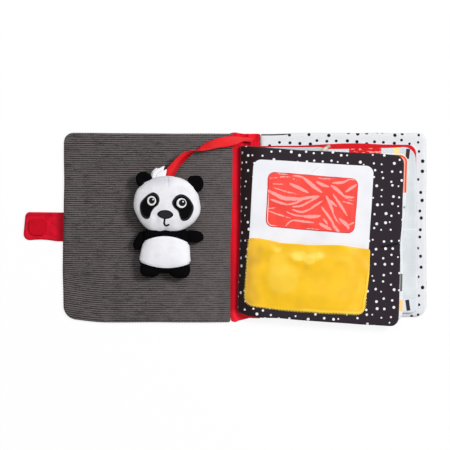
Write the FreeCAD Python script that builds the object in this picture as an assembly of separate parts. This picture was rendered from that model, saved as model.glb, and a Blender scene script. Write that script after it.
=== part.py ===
import FreeCAD, Part
import math
import os

from FreeCAD import Vector

# A padded cloth book lying open and flat, with its front cover to the left (-X), its three
# leaves turned over to the right (+X) and its head towards +Y. A plush panda on a ribbon
# lies on the front cover. The origin is the middle of the spine, on the table.
# All sizes are millimetres.

# Covers: an outer cloth, a wadding and a lining, sewn together round the edge.
COVER_WIDTH = 182.5
COVER_HEIGHT = 204.0
FRONT_HEAD_CORNER = 11.0
FRONT_FOOT_CORNER = 17.0
BACK_HEAD_CORNER = 9.0
BACK_FOOT_CORNER = 13.0
BACK_FOOT_RISE = 5.0            # the print cloth is drawn up this much at the foot
CLOTH_THICKNESS = 1.0
CLOTH_EDGE_RADIUS = 0.7
WADDING_THICKNESS = 3.5
WADDING_INSET = 0.8

# Spine cloth between the covers.
SPINE_WIDTH = 31.0
SPINE_THICKNESS = 2.0
FOLD_GAP = 0.3                  # between the spine and each cover

# Closure tab in the fore edge of the front cover, with its hook and loop patches.
TAB_LENGTH = 43.4
TAB_WIDTH = 31.0
TAB_THICKNESS = 2.2
TAB_TONGUE = 6.0                # sewn in between the cover's cloths
TAB_CENTRE_Y = 0.7
TAB_HEAD_CORNER = 5.0
TAB_FOOT_CORNER = 8.0
HOOK_PATCH_LENGTH = 20.0
HOOK_PATCH_WIDTH = 18.5
HOOK_PATCH_THICKNESS = 0.8
HOOK_PATCH_END_MARGIN = 5.0     # from the free end of the tab
LOOP_PATCH_LENGTH = 24.0
LOOP_PATCH_WIDTH = 22.0
LOOP_PATCH_THICKNESS = 0.6
LOOP_PATCH_EDGE_MARGIN = 6.0    # from the fore edge of the back cover
PATCH_CORNER = 2.0

# Leaves: three padded leaves sewn together in the gutter. Each has slipped a little
# towards the foot, so its head and foot edges slope. Top leaf first.
LEAF_THICKNESS = 3.4
LEAF_GAP = 0.4
LEAF_HEIGHT = 179.5
LEAF_CORNER = 9.0
LEAF_EDGE_RADIUS = 1.2
LEAF_HEAD_Y = 88.4              # head of the gutter seam
LEAF_REACH_HEAD = (178.4, 183.8, 192.7)
LEAF_REACH_FOOT = (173.5, 177.5, 195.0)
LEAF_SLIP_HEAD = (11.9, 8.0, -1.5)
LEAF_SLIP_FOOT = (15.3, 10.5, 2.2)
GUTTER_X = -8.0                 # where the leaves meet the spine
GUTTER_JOIN = 12.0              # width over which the leaves are sewn together
GUTTER_LIP = 1.2                # height of the sewn edge on the spine
GUTTER_RISE = 16.0              # width over which the top leaf rises from the gutter

# Satin patch and satin pocket on the top leaf.
PATCH_WIDTH = 97.0
PATCH_HEIGHT = 58.2
PATCH_THICKNESS = 1.2
PATCH_RADIUS = 7.5
PATCH_CENTRE = (70.9, 27.1)
PATCH_ANGLE = -4.7
POCKET_WIDTH = 133.0
POCKET_HEIGHT = 71.0
POCKET_CLOTH = 1.0
POCKET_RADIUS = 9.0
POCKET_CENTRE = (65.4, -54.1)
POCKET_ANGLE = -4.5
POCKET_BAND = 3.0               # sewn edge along the fore edge and foot
POCKET_GUTTER_BAND = 12.0       # sewn edge beside the gutter, where the leaf bends
POCKET_MOUTH = 5.4              # clear height inside the open mouth
POCKET_RAMP = 16.0              # width over which the pocket rises from its sewn edge

# Ribbon from the head of the gutter to the top of the panda's head.
RIBBON_WIDTH = 9.5
RIBBON_THICKNESS = 0.8
RIBBON_START_Z = 4.3
RIBBON_SLOPE = 8.0              # degrees up from the spine towards the panda
RIBBON_ROUTE = [(3.0, 93.6), (-19.0, 97.0), (-46.0, 89.5), (-69.5, 77.0), (-84.5, 53.0)]
ARC_SHARE = 0.45                # share of the shorter run that each bend takes

# Panda, lying on its back. Sizes are full width, height and thickness, and corner radii go
# clockwise from the head left. Places on the face are from the middle of the head.
PANDA_REST_GAP = 0.3
PANDA_TILT = -3.0
STUFFED_ROUNDNESS = 0.94        # share of the half thickness that the edges are rounded by
HEAD_CENTRE = (-85.6, 26.2)
HEAD_SIZE = (73.0, 60.8, 26.0)
HEAD_RADII = (29.0, 29.0, 19.0, 19.0)
EAR_SIZE = (16.5, 16.5, 9.0)
EAR_RADII = (8.0, 8.0, 8.0, 8.0)
EAR_LEFT_INSET = (11.0, 5.4)    # in from the head's side, and down from its crown
EAR_RIGHT_INSET = (8.0, 7.4)
TUFT_THICKNESS = 1.5
TUFT_OUTLINE = [(-16.5, -10.4), (-15.5, 2.6), (-12.3, 0.6), (-10.5, 9.1), (-5.5, 3.6),
                (-1.5, 9.4), (0.8, -10.4)]      # from the middle of the crown
THREAD_HEIGHT = 0.8             # embroidery stands this proud
EYE_PATCH_SIZE = (19.0, 29.0)
EYE_PATCH_TURN = 20.0
EYE_PATCH_LEFT = (-19.3, -3.2)
EYE_PATCH_RIGHT = (17.2, -3.9)
EYE_SIZE = (11.3, 11.3)
EYE_LEFT = (-17.3, 1.8)
EYE_RIGHT = (15.4, 1.1)
NOSE_SIZE = (16.0, 9.2)
NOSE_PLACE = (-1.9, -12.4)
BODY_SIZE = (56.0, 52.0, 22.0)
BODY_RADII = (20.0, 20.0, 24.0, 24.0)
BODY_SHIFT = -3.2               # sideways from the middle of the head
NECK_OVERLAP = 9.2              # the body runs up this far behind the chin
SHOULDER_DEPTH = 15.0           # from the body's top down to the seam above the belly
ARM_SIZE = (12.0, 23.0, 12.0)
ARM_RADII = (5.9, 5.9, 5.9, 5.9)
ARM_LEFT_INSET = (1.0, 19.5)    # in from the body's side, and down from its top
ARM_LEFT_TURN = -28.0
ARM_RIGHT_INSET = (-1.0, 13.2)
ARM_RIGHT_TURN = 85.0
LEG_SIZE = (21.5, 19.0, 17.0)
LEG_RADII = (9.3, 9.3, 9.3, 9.3)
LEG_INSET = (11.4, 1.5)         # in from the body's side, and up from its foot

# Heights that follow from the sizes above.
COVER_THICKNESS = 2 * CLOTH_THICKNESS + WADDING_THICKNESS
COVER_INNER_X = SPINE_WIDTH / 2 + FOLD_GAP
COVER_OUTER_X = COVER_INNER_X + COVER_WIDTH
LEAF_PITCH = LEAF_GAP + LEAF_THICKNESS
LEAF_COUNT = len(LEAF_REACH_HEAD)
STACK_TOP = COVER_THICKNESS + LEAF_COUNT * LEAF_PITCH
REACH = 4 * COVER_WIDTH         # longer than anything that it cuts
HALF_HEAD = (HEAD_SIZE[0] / 2, HEAD_SIZE[1] / 2)
HALF_BODY = (BODY_SIZE[0] / 2, BODY_SIZE[1] / 2)
BODY_CENTRE = (HEAD_CENTRE[0] + BODY_SHIFT,
               HEAD_CENTRE[1] - HALF_HEAD[1] + NECK_OVERLAP - HALF_BODY[1])


def rounded_wire(corners, radii):
    """Closed outline in the XY plane through the corners, each with its own radius."""
    bends = []
    for index, corner in enumerate(corners):
        here = Vector(*corner, 0)
        back = (Vector(*corners[index - 1], 0) - here).normalize()
        ahead = (Vector(*corners[(index + 1) % len(corners)], 0) - here).normalize()
        half = back.getAngle(ahead) / 2
        radius = radii[index]
        middle = here + (back + ahead).normalize() * (radius / math.sin(half) - radius)
        bends.append((here + back * (radius / math.tan(half)), middle,
                      here + ahead * (radius / math.tan(half))))
    edges = []
    for index, (start, middle, end) in enumerate(bends):
        if radii[index] > 0:
            edges.append(Part.Arc(start, middle, end).toShape())
        edges.append(Part.LineSegment(end, bends[(index + 1) % len(bends)][0]).toShape())
    return Part.Wire(edges)


def plate(corners, radii, low, thickness):
    """Flat piece with a rounded outline, from the height low upwards."""
    outline = rounded_wire(corners, radii)
    outline.translate(Vector(0, 0, low))
    return Part.Face(outline).extrude(Vector(0, 0, thickness))


def rim_edges(solid, height):
    """Edges that lie wholly at one height."""
    return [edge for edge in solid.Edges
            if all(abs(vertex.Z - height) < 1e-6 for vertex in edge.Vertexes)]


def box_corners(left, right, low, high):
    """Corners of an upright rectangle, head left first and then clockwise."""
    return [(left, high), (right, high), (right, low), (left, low)]


def turned(shape, centre, angle):
    """The shape, built about the origin, turned about Z and moved to its centre."""
    placed = shape.copy()
    placed.rotate(Vector(0, 0, 0), Vector(0, 0, 1), angle)
    placed.translate(Vector(*centre, 0))
    return placed


def stuffed(size, radii, grow=0.0):
    """Stuffed form about the origin: a rounded outline whose rims are rounded right over."""
    half_width, half_height = size[0] / 2 + grow, size[1] / 2 + grow
    thickness = size[2] + 2 * grow
    corners = box_corners(-half_width, half_width, -half_height, half_height)
    form = plate(corners, [radius + grow for radius in radii], -thickness / 2, thickness)
    rims = rim_edges(form, -thickness / 2) + rim_edges(form, thickness / 2)
    return form.makeFillet(STUFFED_ROUNDNESS * size[2] / 2 + grow, rims)


def cover_layers(side, head_corner, foot_corner, foot_rise):
    """Outer cloth, wadding and lining of one cover; side is -1 for the front, 1 for the back."""
    foot, head = foot_rise - COVER_HEIGHT / 2, COVER_HEIGHT / 2
    corners = box_corners(COVER_INNER_X, COVER_OUTER_X, foot, head)
    radii = [0, head_corner, foot_corner, 0]
    outer = plate(corners, radii, 0, CLOTH_THICKNESS)
    outer = outer.makeFillet(CLOTH_EDGE_RADIUS, rim_edges(outer, 0))
    inset = WADDING_INSET
    core = box_corners(COVER_INNER_X + inset, COVER_OUTER_X - inset, foot + inset, head - inset)
    core_radii = [max(radius - inset, 0) for radius in radii]
    wadding = plate(core, core_radii, CLOTH_THICKNESS, WADDING_THICKNESS)
    lining = plate(corners, radii, CLOTH_THICKNESS + WADDING_THICKNESS, CLOTH_THICKNESS)
    lining = lining.makeFillet(CLOTH_EDGE_RADIUS, rim_edges(lining, COVER_THICKNESS))
    layers = [outer, wadding, lining]
    if side < 0:
        layers = [layer.mirror(Vector(0, 0, 0), Vector(1, 0, 0)) for layer in layers]
    return layers


def spine_cloth():
    """Flat strip of cloth that both covers and the leaves are sewn to."""
    half = SPINE_WIDTH / 2
    corners = box_corners(-half, half, -COVER_HEIGHT / 2, COVER_HEIGHT / 2)
    return plate(corners, [0, 0, 0, 0], 0, SPINE_THICKNESS)


def closure_tab():
    """Cloth tab with its tongue between the cloths of the front cover."""
    corners = box_corners(-COVER_OUTER_X - TAB_LENGTH, -COVER_OUTER_X + TAB_TONGUE,
                          TAB_CENTRE_Y - TAB_WIDTH / 2, TAB_CENTRE_Y + TAB_WIDTH / 2)
    radii = [TAB_HEAD_CORNER, 0, 0, TAB_FOOT_CORNER]
    return plate(corners, radii, CLOTH_THICKNESS, TAB_THICKNESS)


def tab_hook_patch():
    """Hook patch on the inner face of the tab."""
    left = -COVER_OUTER_X - TAB_LENGTH + HOOK_PATCH_END_MARGIN
    corners = box_corners(left, left + HOOK_PATCH_LENGTH,
                          TAB_CENTRE_Y - HOOK_PATCH_WIDTH / 2, TAB_CENTRE_Y + HOOK_PATCH_WIDTH / 2)
    return plate(corners, [PATCH_CORNER] * 4, CLOTH_THICKNESS + TAB_THICKNESS, HOOK_PATCH_THICKNESS)


def back_loop_patch():
    """Loop patch pressed flush into the outer face of the back cover, where the tab closes."""
    right = COVER_OUTER_X - LOOP_PATCH_EDGE_MARGIN
    corners = box_corners(right - LOOP_PATCH_LENGTH, right,
                          TAB_CENTRE_Y - LOOP_PATCH_WIDTH / 2, TAB_CENTRE_Y + LOOP_PATCH_WIDTH / 2)
    return plate(corners, [PATCH_CORNER] * 4, 0, LOOP_PATCH_THICKNESS)


def leaf_plate(index):
    """One leaf as a flat plate, from the gutter to its fore edge."""
    head = LEAF_HEAD_Y
    foot = LEAF_HEAD_Y - LEAF_HEIGHT
    corners = [(GUTTER_X, head),
               (GUTTER_X + LEAF_REACH_HEAD[index], head - LEAF_SLIP_HEAD[index]),
               (GUTTER_X + LEAF_REACH_FOOT[index], foot - LEAF_SLIP_FOOT[index]),
               (GUTTER_X, foot)]
    low = STACK_TOP - index * LEAF_PITCH - LEAF_THICKNESS
    leaf = plate(corners, [0, LEAF_CORNER, LEAF_CORNER, 0], low, LEAF_THICKNESS)
    rims = rim_edges(leaf, low) + rim_edges(leaf, low + LEAF_THICKNESS)
    fore_rims = [edge for edge in rims if edge.BoundBox.XMax > GUTTER_X + LEAF_CORNER]
    return leaf.makeFillet(LEAF_EDGE_RADIUS, fore_rims)


def under_top_leaf(lift):
    """Everything under the top leaf's upper face, raised by lift, as a bar along Y."""
    lip = SPINE_THICKNESS + GUTTER_LIP + lift
    top = STACK_TOP + lift
    plateau_x = GUTTER_X + GUTTER_RISE
    bend = Part.BezierCurve()
    round_share = 4 * (math.sqrt(2) - 1) / 3
    bend.setPoles([Vector(GUTTER_X, 0, lip),
                   Vector(GUTTER_X, 0, lip + round_share * (top - lip)),
                   Vector(plateau_x - round_share * GUTTER_RISE, 0, top),
                   Vector(plateau_x, 0, top)])
    straight = Part.makePolygon([Vector(plateau_x, 0, top), Vector(REACH, 0, top),
                                 Vector(REACH, 0, SPINE_THICKNESS),
                                 Vector(GUTTER_X, 0, SPINE_THICKNESS), Vector(GUTTER_X, 0, lip)])
    section = Part.Face(Part.Wire([bend.toShape()] + straight.Edges))
    section.translate(Vector(0, -REACH / 2, 0))
    return section.extrude(Vector(0, REACH, 0))


def leaves():
    """Three leaves, apart from each other but joined where they are sewn in the gutter."""
    corners = box_corners(GUTTER_X, GUTTER_X + GUTTER_JOIN, LEAF_HEAD_Y - LEAF_HEIGHT, LEAF_HEAD_Y)
    seam = plate(corners, [0, 0, 0, 0], SPINE_THICKNESS, STACK_TOP - SPINE_THICKNESS)
    stack = seam.fuse([leaf_plate(index) for index in range(LEAF_COUNT)])
    return stack.common(under_top_leaf(0)).removeSplitter()


def red_patch():
    """Satin patch sewn flat on the top leaf."""
    corners = box_corners(-PATCH_WIDTH / 2, PATCH_WIDTH / 2, -PATCH_HEIGHT / 2, PATCH_HEIGHT / 2)
    patch = plate(corners, [PATCH_RADIUS] * 4, STACK_TOP, PATCH_THICKNESS)
    patch = patch.makeFillet(CLOTH_EDGE_RADIUS, rim_edges(patch, STACK_TOP + PATCH_THICKNESS))
    return turned(patch, PATCH_CENTRE, PATCH_ANGLE)


def pocket_feet(inset):
    """Where the pocket's left, right and foot slopes meet the flat of the leaf."""
    rise = POCKET_MOUTH + POCKET_CLOTH
    shift = inset * math.hypot(rise, POCKET_RAMP) / rise
    return (-POCKET_WIDTH / 2 + POCKET_GUTTER_BAND + shift,
            POCKET_WIDTH / 2 - POCKET_BAND - shift,
            -POCKET_HEIGHT / 2 + POCKET_BAND + shift)


def pocket_bulge(inset):
    """Low roof with three sloping sides and an upright side at the mouth, inset all round."""
    left, right, foot = pocket_feet(inset)
    rise = POCKET_MOUTH + POCKET_CLOTH
    run = POCKET_RAMP / rise
    mouth = POCKET_HEIGHT / 2 + inset
    low, high = 0, STACK_TOP + rise - inset
    spread, climb = STACK_TOP * run, (rise - inset) * run
    across = Part.makePolygon([Vector(left - spread, 0, low), Vector(left + climb, 0, high),
                               Vector(right - climb, 0, high), Vector(right + spread, 0, low),
                               Vector(left - spread, 0, low)])
    across.translate(Vector(0, -POCKET_HEIGHT, 0))
    along = Part.makePolygon([Vector(0, foot - spread, low), Vector(0, foot + climb, high),
                              Vector(0, mouth, high), Vector(0, mouth, low),
                              Vector(0, foot - spread, low)])
    along.translate(Vector(-POCKET_WIDTH, 0, 0))
    across_bar = Part.Face(across).extrude(Vector(0, 2 * POCKET_HEIGHT, 0))
    along_bar = Part.Face(along).extrude(Vector(2 * POCKET_WIDTH, 0, 0))
    return turned(across_bar.common(along_bar), POCKET_CENTRE, POCKET_ANGLE)


def yellow_pocket():
    """Satin pocket sewn down on three sides, with its open mouth towards the head."""
    half_width, half_height = POCKET_WIDTH / 2, POCKET_HEIGHT / 2
    corners = box_corners(-half_width, half_width, -half_height, half_height)
    footprint = plate(corners, [0, 0, POCKET_RADIUS, POCKET_RADIUS], 0, 2 * STACK_TOP)
    footprint = turned(footprint, POCKET_CENTRE, POCKET_ANGLE)
    left, right, foot = pocket_feet(POCKET_CLOTH)
    window = plate(box_corners(left, right, foot, POCKET_HEIGHT), [0, 0, 0, 0], 0, 2 * STACK_TOP)
    window = turned(window, POCKET_CENTRE, POCKET_ANGLE)
    leaf_side = under_top_leaf(0)
    band = under_top_leaf(POCKET_CLOTH).cut(leaf_side).common(footprint).cut(window)
    shell = pocket_bulge(0).cut(pocket_bulge(POCKET_CLOTH)).common(footprint).cut(leaf_side)
    return band.fuse(shell).removeSplitter()


def route_bends(route):
    """Start, middle and end of the tangent arc at each inner point of a route."""
    bends = []
    for index in range(1, len(route) - 1):
        here = Vector(*route[index], 0)
        back = Vector(*route[index - 1], 0) - here
        ahead = Vector(*route[index + 1], 0) - here
        half_turn = (math.pi - back.getAngle(ahead)) / 2
        setback = ARC_SHARE * min(back.Length, ahead.Length)
        radius = setback / math.tan(half_turn)
        back.normalize()
        ahead.normalize()
        middle = here + (back + ahead).normalize() * (radius / math.cos(half_turn) - radius)
        bends.append((here + back * setback, middle, here + ahead * setback, radius))
    return bends


def route_edges(route):
    """Straight runs and tangent arcs along a route in the XY plane."""
    edges = []
    start = Vector(*route[0], 0)
    for arc_start, middle, arc_end, radius in route_bends(route):
        edges.append(Part.LineSegment(start, arc_start).toShape())
        edges.append(Part.Arc(arc_start, middle, arc_end).toShape())
        start = arc_end
    edges.append(Part.LineSegment(start, Vector(*route[-1], 0)).toShape())
    return edges


def side_point(edge, parameter, offset):
    """Point beside an edge, to the left of its direction."""
    along = edge.tangentAt(parameter)
    return edge.valueAt(parameter) + Vector(-along.y, along.x, 0) * offset


def side_edge(edge, offset):
    """Copy of a line or an arc, moved sideways by offset."""
    first, last = edge.FirstParameter, edge.LastParameter
    start, end = side_point(edge, first, offset), side_point(edge, last, offset)
    if isinstance(edge.Curve, Part.Circle):
        middle = side_point(edge, (first + last) / 2, offset)
        return Part.Arc(start, middle, end).toShape()
    return Part.LineSegment(start, end).toShape()


def ribbon():
    """Flat ribbon along its route, in one plane that rises from the spine to the panda."""
    centre = route_edges(RIBBON_ROUTE)
    sides = [[side_edge(edge, offset) for edge in centre]
             for offset in (RIBBON_WIDTH / 2, -RIBBON_WIDTH / 2)]
    ends = [Part.LineSegment(side_point(edge, parameter, RIBBON_WIDTH / 2),
                             side_point(edge, parameter, -RIBBON_WIDTH / 2)).toShape()
            for edge, parameter in ((centre[0], centre[0].FirstParameter),
                                    (centre[-1], centre[-1].LastParameter))]
    outline = Part.Wire(Part.sortEdges(sides[0] + sides[1] + ends)[0])
    strip = Part.Face(outline).extrude(Vector(0, 0, RIBBON_THICKNESS))
    strip.translate(Vector(0, 0, RIBBON_START_Z))
    strip.rotate(Vector(RIBBON_ROUTE[0][0], 0, RIBBON_START_Z), Vector(0, 1, 0), RIBBON_SLOPE)
    length = sum(edge.Length for edge in centre)
    section = RIBBON_WIDTH * RIBBON_THICKNESS
    print("ribbon radii", [round(bend[3], 1) for bend in route_bends(RIBBON_ROUTE)],
          "length", round(length, 1), "volume share", round(strip.Volume / (length * section), 4))
    return strip


def on_head(place):
    """Place on the head, from its middle, in the book's frame."""
    return on_panda(HEAD_CENTRE, place)


def on_body(place):
    """Place on the body, from its middle, in the book's frame."""
    return on_panda(BODY_CENTRE, place)


def on_panda(middle, place):
    """Place given from a middle of the tilted panda, in the book's frame."""
    tilt = math.radians(PANDA_TILT)
    return (middle[0] + place[0] * math.cos(tilt) - place[1] * math.sin(tilt),
            middle[1] + place[0] * math.sin(tilt) + place[1] * math.cos(tilt))


def lying_height(size):
    """Height of the middle of a panda piece that lies on the front cover."""
    return COVER_THICKNESS + PANDA_REST_GAP + size[2] / 2


def lay(form, place, height, turn=0.0):
    """A form built about the origin, laid on the cover at its place and height."""
    laid = turned(form, place, turn + PANDA_TILT)
    laid.translate(Vector(0, 0, height))
    return laid


def head_form(grow=0.0):
    """The panda's stuffed head, or the same form grown all round."""
    return lay(stuffed(HEAD_SIZE, HEAD_RADII, grow), HEAD_CENTRE, lying_height(HEAD_SIZE))


def body_form():
    """The panda's stuffed body before its head is set on it."""
    return lay(stuffed(BODY_SIZE, BODY_RADII), BODY_CENTRE, lying_height(BODY_SIZE))


def ear(side, inset):
    """Plush ear, seated on the head; side is -1 for the left and 1 for the right."""
    place = (side * (HALF_HEAD[0] - inset[0]), HALF_HEAD[1] - inset[1])
    form = lay(stuffed(EAR_SIZE, EAR_RADII), on_head(place), lying_height(HEAD_SIZE))
    return form.cut(head_form())


def tuft():
    """Felt tuft with three points, seated on top of the head."""
    corners = [on_head((x, HALF_HEAD[1] + y)) for x, y in TUFT_OUTLINE]
    low = lying_height(HEAD_SIZE) - TUFT_THICKNESS / 2
    return plate(corners, [0] * len(corners), low, TUFT_THICKNESS).cut(head_form())


def stitched(size, place, turn, base):
    """Embroidered oval on the front of the head, standing on forms grown by base."""
    long_way, short_way = max(size) / 2, min(size) / 2
    oval = Part.Face(Part.Wire(Part.Ellipse(Vector(0, 0, 0), long_way, short_way).toShape()))
    if size[1] > size[0]:
        oval.rotate(Vector(0, 0, 0), Vector(0, 0, 1), 90)
    column = oval.extrude(Vector(0, 0, HEAD_SIZE[2]))
    column = lay(column, on_head(place), lying_height(HEAD_SIZE), turn)
    return column.common(head_form(base + THREAD_HEIGHT)).cut(head_form(base))


def above_shoulder_line():
    """Everything on the head side of the seam across the body."""
    corners = box_corners(-REACH, REACH, HALF_BODY[1] - SHOULDER_DEPTH, REACH)
    return turned(plate(corners, [0, 0, 0, 0], 0, REACH), BODY_CENTRE, PANDA_TILT)


def limb(size, radii, place, turn=0.0):
    """Stuffed arm or leg, seated on the body and clear of the head."""
    form = lay(stuffed(size, radii), on_body(place), lying_height(size), turn)
    return form.cut(body_form()).cut(head_form())


def arm(side, inset, turn):
    """Stuffed arm at the body's side; side is -1 for the left and 1 for the right."""
    place = (side * (HALF_BODY[0] - inset[0]), HALF_BODY[1] - inset[1])
    return limb(ARM_SIZE, ARM_RADII, place, turn)


def leg(side):
    """Stuffed leg at the body's foot; side is -1 for the left and 1 for the right."""
    place = (side * (HALF_BODY[0] - LEG_INSET[0]), LEG_INSET[1] - HALF_BODY[1])
    return limb(LEG_SIZE, LEG_RADII, place)


def panda():
    """The plush panda's pieces by name."""
    body = body_form().cut(head_form())
    upper_side = above_shoulder_line()
    return {
        "panda_head": head_form(),
        "panda_ear_left": ear(-1, EAR_LEFT_INSET),
        "panda_ear_right": ear(1, EAR_RIGHT_INSET),
        "panda_tuft": tuft(),
        "panda_eye_patch_left": stitched(EYE_PATCH_SIZE, EYE_PATCH_LEFT, -EYE_PATCH_TURN, 0),
        "panda_eye_patch_right": stitched(EYE_PATCH_SIZE, EYE_PATCH_RIGHT, EYE_PATCH_TURN, 0),
        "panda_eye_left": stitched(EYE_SIZE, EYE_LEFT, 0, THREAD_HEIGHT),
        "panda_eye_right": stitched(EYE_SIZE, EYE_RIGHT, 0, THREAD_HEIGHT),
        "panda_nose": stitched(NOSE_SIZE, NOSE_PLACE, 0, 0),
        "panda_shoulders": body.common(upper_side),
        "panda_belly": body.cut(upper_side),
        "panda_arm_left": arm(-1, ARM_LEFT_INSET, ARM_LEFT_TURN),
        "panda_arm_right": arm(1, ARM_RIGHT_INSET, ARM_RIGHT_TURN),
        "panda_leg_left": leg(-1),
        "panda_leg_right": leg(1),
    }


def book():
    """All of the book's pieces by name."""
    front = cover_layers(-1, FRONT_HEAD_CORNER, FRONT_FOOT_CORNER, 0)
    back = cover_layers(1, BACK_HEAD_CORNER, BACK_FOOT_CORNER, BACK_FOOT_RISE)
    tab = closure_tab()
    loop = back_loop_patch()
    pieces = {
        "front_cover_outer": front[0],
        "front_cover_wadding": front[1].cut(tab),
        "front_cover_lining": front[2],
        "back_cover_outer": back[0].cut(loop),
        "back_cover_wadding": back[1],
        "back_cover_lining": back[2],
        "spine_cloth": spine_cloth(),
        "closure_tab": tab,
        "tab_hook_patch": tab_hook_patch(),
        "back_loop_patch": loop,
        "leaves": leaves(),
        "red_patch": red_patch(),
        "yellow_pocket": yellow_pocket(),
        "ribbon": ribbon(),
    }
    pieces.update(panda())
    return pieces


def export(pieces):
    """Write one STEP file for each piece."""
    os.makedirs("parts", exist_ok=True)
    for name, shape in pieces.items():
        solid = shape.Solids[0] if len(shape.Solids) == 1 else shape
        solid.exportStep("parts/" + name + ".step")


export(book())
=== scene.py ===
import math

import bmesh
import bpy
import numpy as np
from mathutils import Matrix, Vector, noise
from mathutils.bvhtree import BVHTree


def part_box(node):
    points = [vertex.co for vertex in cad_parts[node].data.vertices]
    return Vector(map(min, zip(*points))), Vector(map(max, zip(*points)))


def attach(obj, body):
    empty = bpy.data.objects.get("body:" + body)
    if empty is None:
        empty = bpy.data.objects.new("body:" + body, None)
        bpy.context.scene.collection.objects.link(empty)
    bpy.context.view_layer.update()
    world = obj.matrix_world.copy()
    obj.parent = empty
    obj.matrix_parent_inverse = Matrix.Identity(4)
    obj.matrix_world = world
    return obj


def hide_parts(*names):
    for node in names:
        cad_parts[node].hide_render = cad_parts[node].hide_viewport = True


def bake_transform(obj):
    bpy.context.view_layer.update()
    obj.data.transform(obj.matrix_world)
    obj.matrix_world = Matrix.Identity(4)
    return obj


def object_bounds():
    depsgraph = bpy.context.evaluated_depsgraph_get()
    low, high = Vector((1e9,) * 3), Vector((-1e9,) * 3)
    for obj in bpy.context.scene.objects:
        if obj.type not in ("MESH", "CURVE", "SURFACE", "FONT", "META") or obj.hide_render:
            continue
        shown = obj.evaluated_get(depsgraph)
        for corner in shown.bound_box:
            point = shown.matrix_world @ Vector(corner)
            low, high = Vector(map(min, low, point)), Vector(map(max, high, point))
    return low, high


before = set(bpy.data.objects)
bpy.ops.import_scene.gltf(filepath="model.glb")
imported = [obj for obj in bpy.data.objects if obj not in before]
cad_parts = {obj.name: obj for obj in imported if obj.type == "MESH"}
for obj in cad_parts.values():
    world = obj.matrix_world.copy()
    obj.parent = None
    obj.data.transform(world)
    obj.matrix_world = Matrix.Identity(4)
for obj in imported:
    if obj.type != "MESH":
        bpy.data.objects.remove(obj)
cad_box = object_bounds()
scene = bpy.context.scene
scene.view_settings.view_transform = "Standard"

# A padded cloth book lying open: front cover, spine and back cover on the table, three
# leaves sewn in the gutter, and a plush panda on a ribbon. Sizes are in millimetres unless
# a name says metres, and they are turned into metres when a mesh is made.
MM = 0.001

# Camera: straight down, with a long lens.
LENS = 200.0
SENSOR = 36.0
VIEW_WIDTH = 489.0
VIEW_HEIGHT = 8.0               # the height at which the view is that wide
VIEW_SHIFT = (-1.3, 4.7)        # from the middle of the book

# Light and table. Surroundings light the book at one strength and look white.
STUDIO_STRENGTH = 0.38
TABLE_GLOW = 0.87               # share of plain white in the table's look
TABLE_REACH = 3.0               # in metres, from the middle to an edge
TABLE_LEVEL = -0.0004           # in metres, just below the cloth

# Ribbon, in metres: the route's points from the gutter to the crown of the head.
RIBBON_ROUTE = [(0.0085, 0.0948, 0.0012), (0.0000, 0.0970, 0.0056), (-0.0160, 0.0942, 0.0100),
    (-0.0340, 0.0914, 0.0110), (-0.0545, 0.0837, 0.0124), (-0.0725, 0.0753, 0.0150),
    (-0.0888, 0.0503, 0.0172)]
RIBBON_WIDTH = 9.5
RIBBON_CLOTH = 0.45
RIBBON_TWIST = 68.5             # along the ribbon from the gutter
RIBBON_TWIST_EASE = (17.0, 22.0)   # how slowly it turns before and after

# Covers.
WALE_COUNT = 88
ROWS_PER_WALE = 6
WALE_HEIGHT = 0.42
COVER_SEAM_Z = 2.6
OUTER_SEAM_Z = COVER_SEAM_Z - 0.04   # the outer cloth meets the seam just below the lining
COVER_ROLL = 4.2                # width over which the cloth rolls over to the seam
FRONT_CORNERS = (12.0, 2.0, 2.0, 10.6)   # foot left, foot right, head right, head left
BACK_CORNERS = (2.0, 13.0, 9.0, 2.0)
FRONT_SEED, BACK_SEED = 3.0, 11.0
SPINE_LENGTH = 204.0

# Leaves, top leaf first.
LEAF_THICKNESS = 3.4
LEAF_PITCH = 3.8
LEAF_HEAD_Y = 88.4
LEAF_FOOT_Y = -91.1
LEAF_REACH_HEAD = (179.4, 183.8, 192.7)
LEAF_REACH_FOOT = (172.9, 177.5, 195.0)
LEAF_SLIP_HEAD = (11.9, 8.0, -1.5)
LEAF_SLIP_FOOT = (15.3, 10.5, 2.2)
LEAF_CORNER = 9.0
LEAF_ROLL = 3.2
GUTTER_RISE = 16.0
GUTTER_LIP = 1.2
GUTTER_STEPS = 12
PAST_GUTTER = 99.0              # stands for any distance beyond the curve out of the gutter
LEAF_NAMES = ("leaf_top", "leaf_middle", "leaf_bottom")
CREASE_START = (143.0, -22.0)
CREASE_END = (165.2, -17.0)

# Satin patch and pocket on the top leaf.
PATCH_SIZE = (97.4, 59.8)
PATCH_CENTRE = (70.9, 27.1)
PATCH_ANGLE = -4.7
PATCH_CORNER = 7.5
POCKET_SIZE = (133.0, 71.0)
POCKET_CENTRE = (65.4, -54.1)
POCKET_ANGLE = -4.5
POCKET_CORNER = 9.0
POCKET_BAND = 12.0              # flat band beside the gutter
POCKET_CLOTH = 0.8
POCKET_PUFFS = [(50.5, -32.6, 6.5, 4.6, 3.6), (57.0, -36.5, 5.0, 4.4, 2.2), (72.0, -34.0, 8.0, 5.4, 4.2),
    (68.0, -40.5, 6.0, 4.0, 2.4), (79.0, -31.5, 5.0, 3.6, 1.6), (29.0, -24.6, 5.0, 4.0, 2.2),
    (6.0, -30.0, 5.0, 5.0, 1.4), (96.0, -33.0, 13.0, 4.5, 1.0), (36.0, -60.0, 15.0, 19.0, 1.6),
    (117.0, -38.0, 9.0, 10.0, -2.6)]
POCKET_MOUTH_LIFT = 3.4

# Width either side of a print's outline over which its colour fades in.
PRINT_EDGE = 0.12

# Distances from the edge of a panel at which its first points stand.
EDGE_STEPS = (0.0, 0.25, 0.8, 1.6, 2.7, 4.2, 6.0)

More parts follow.
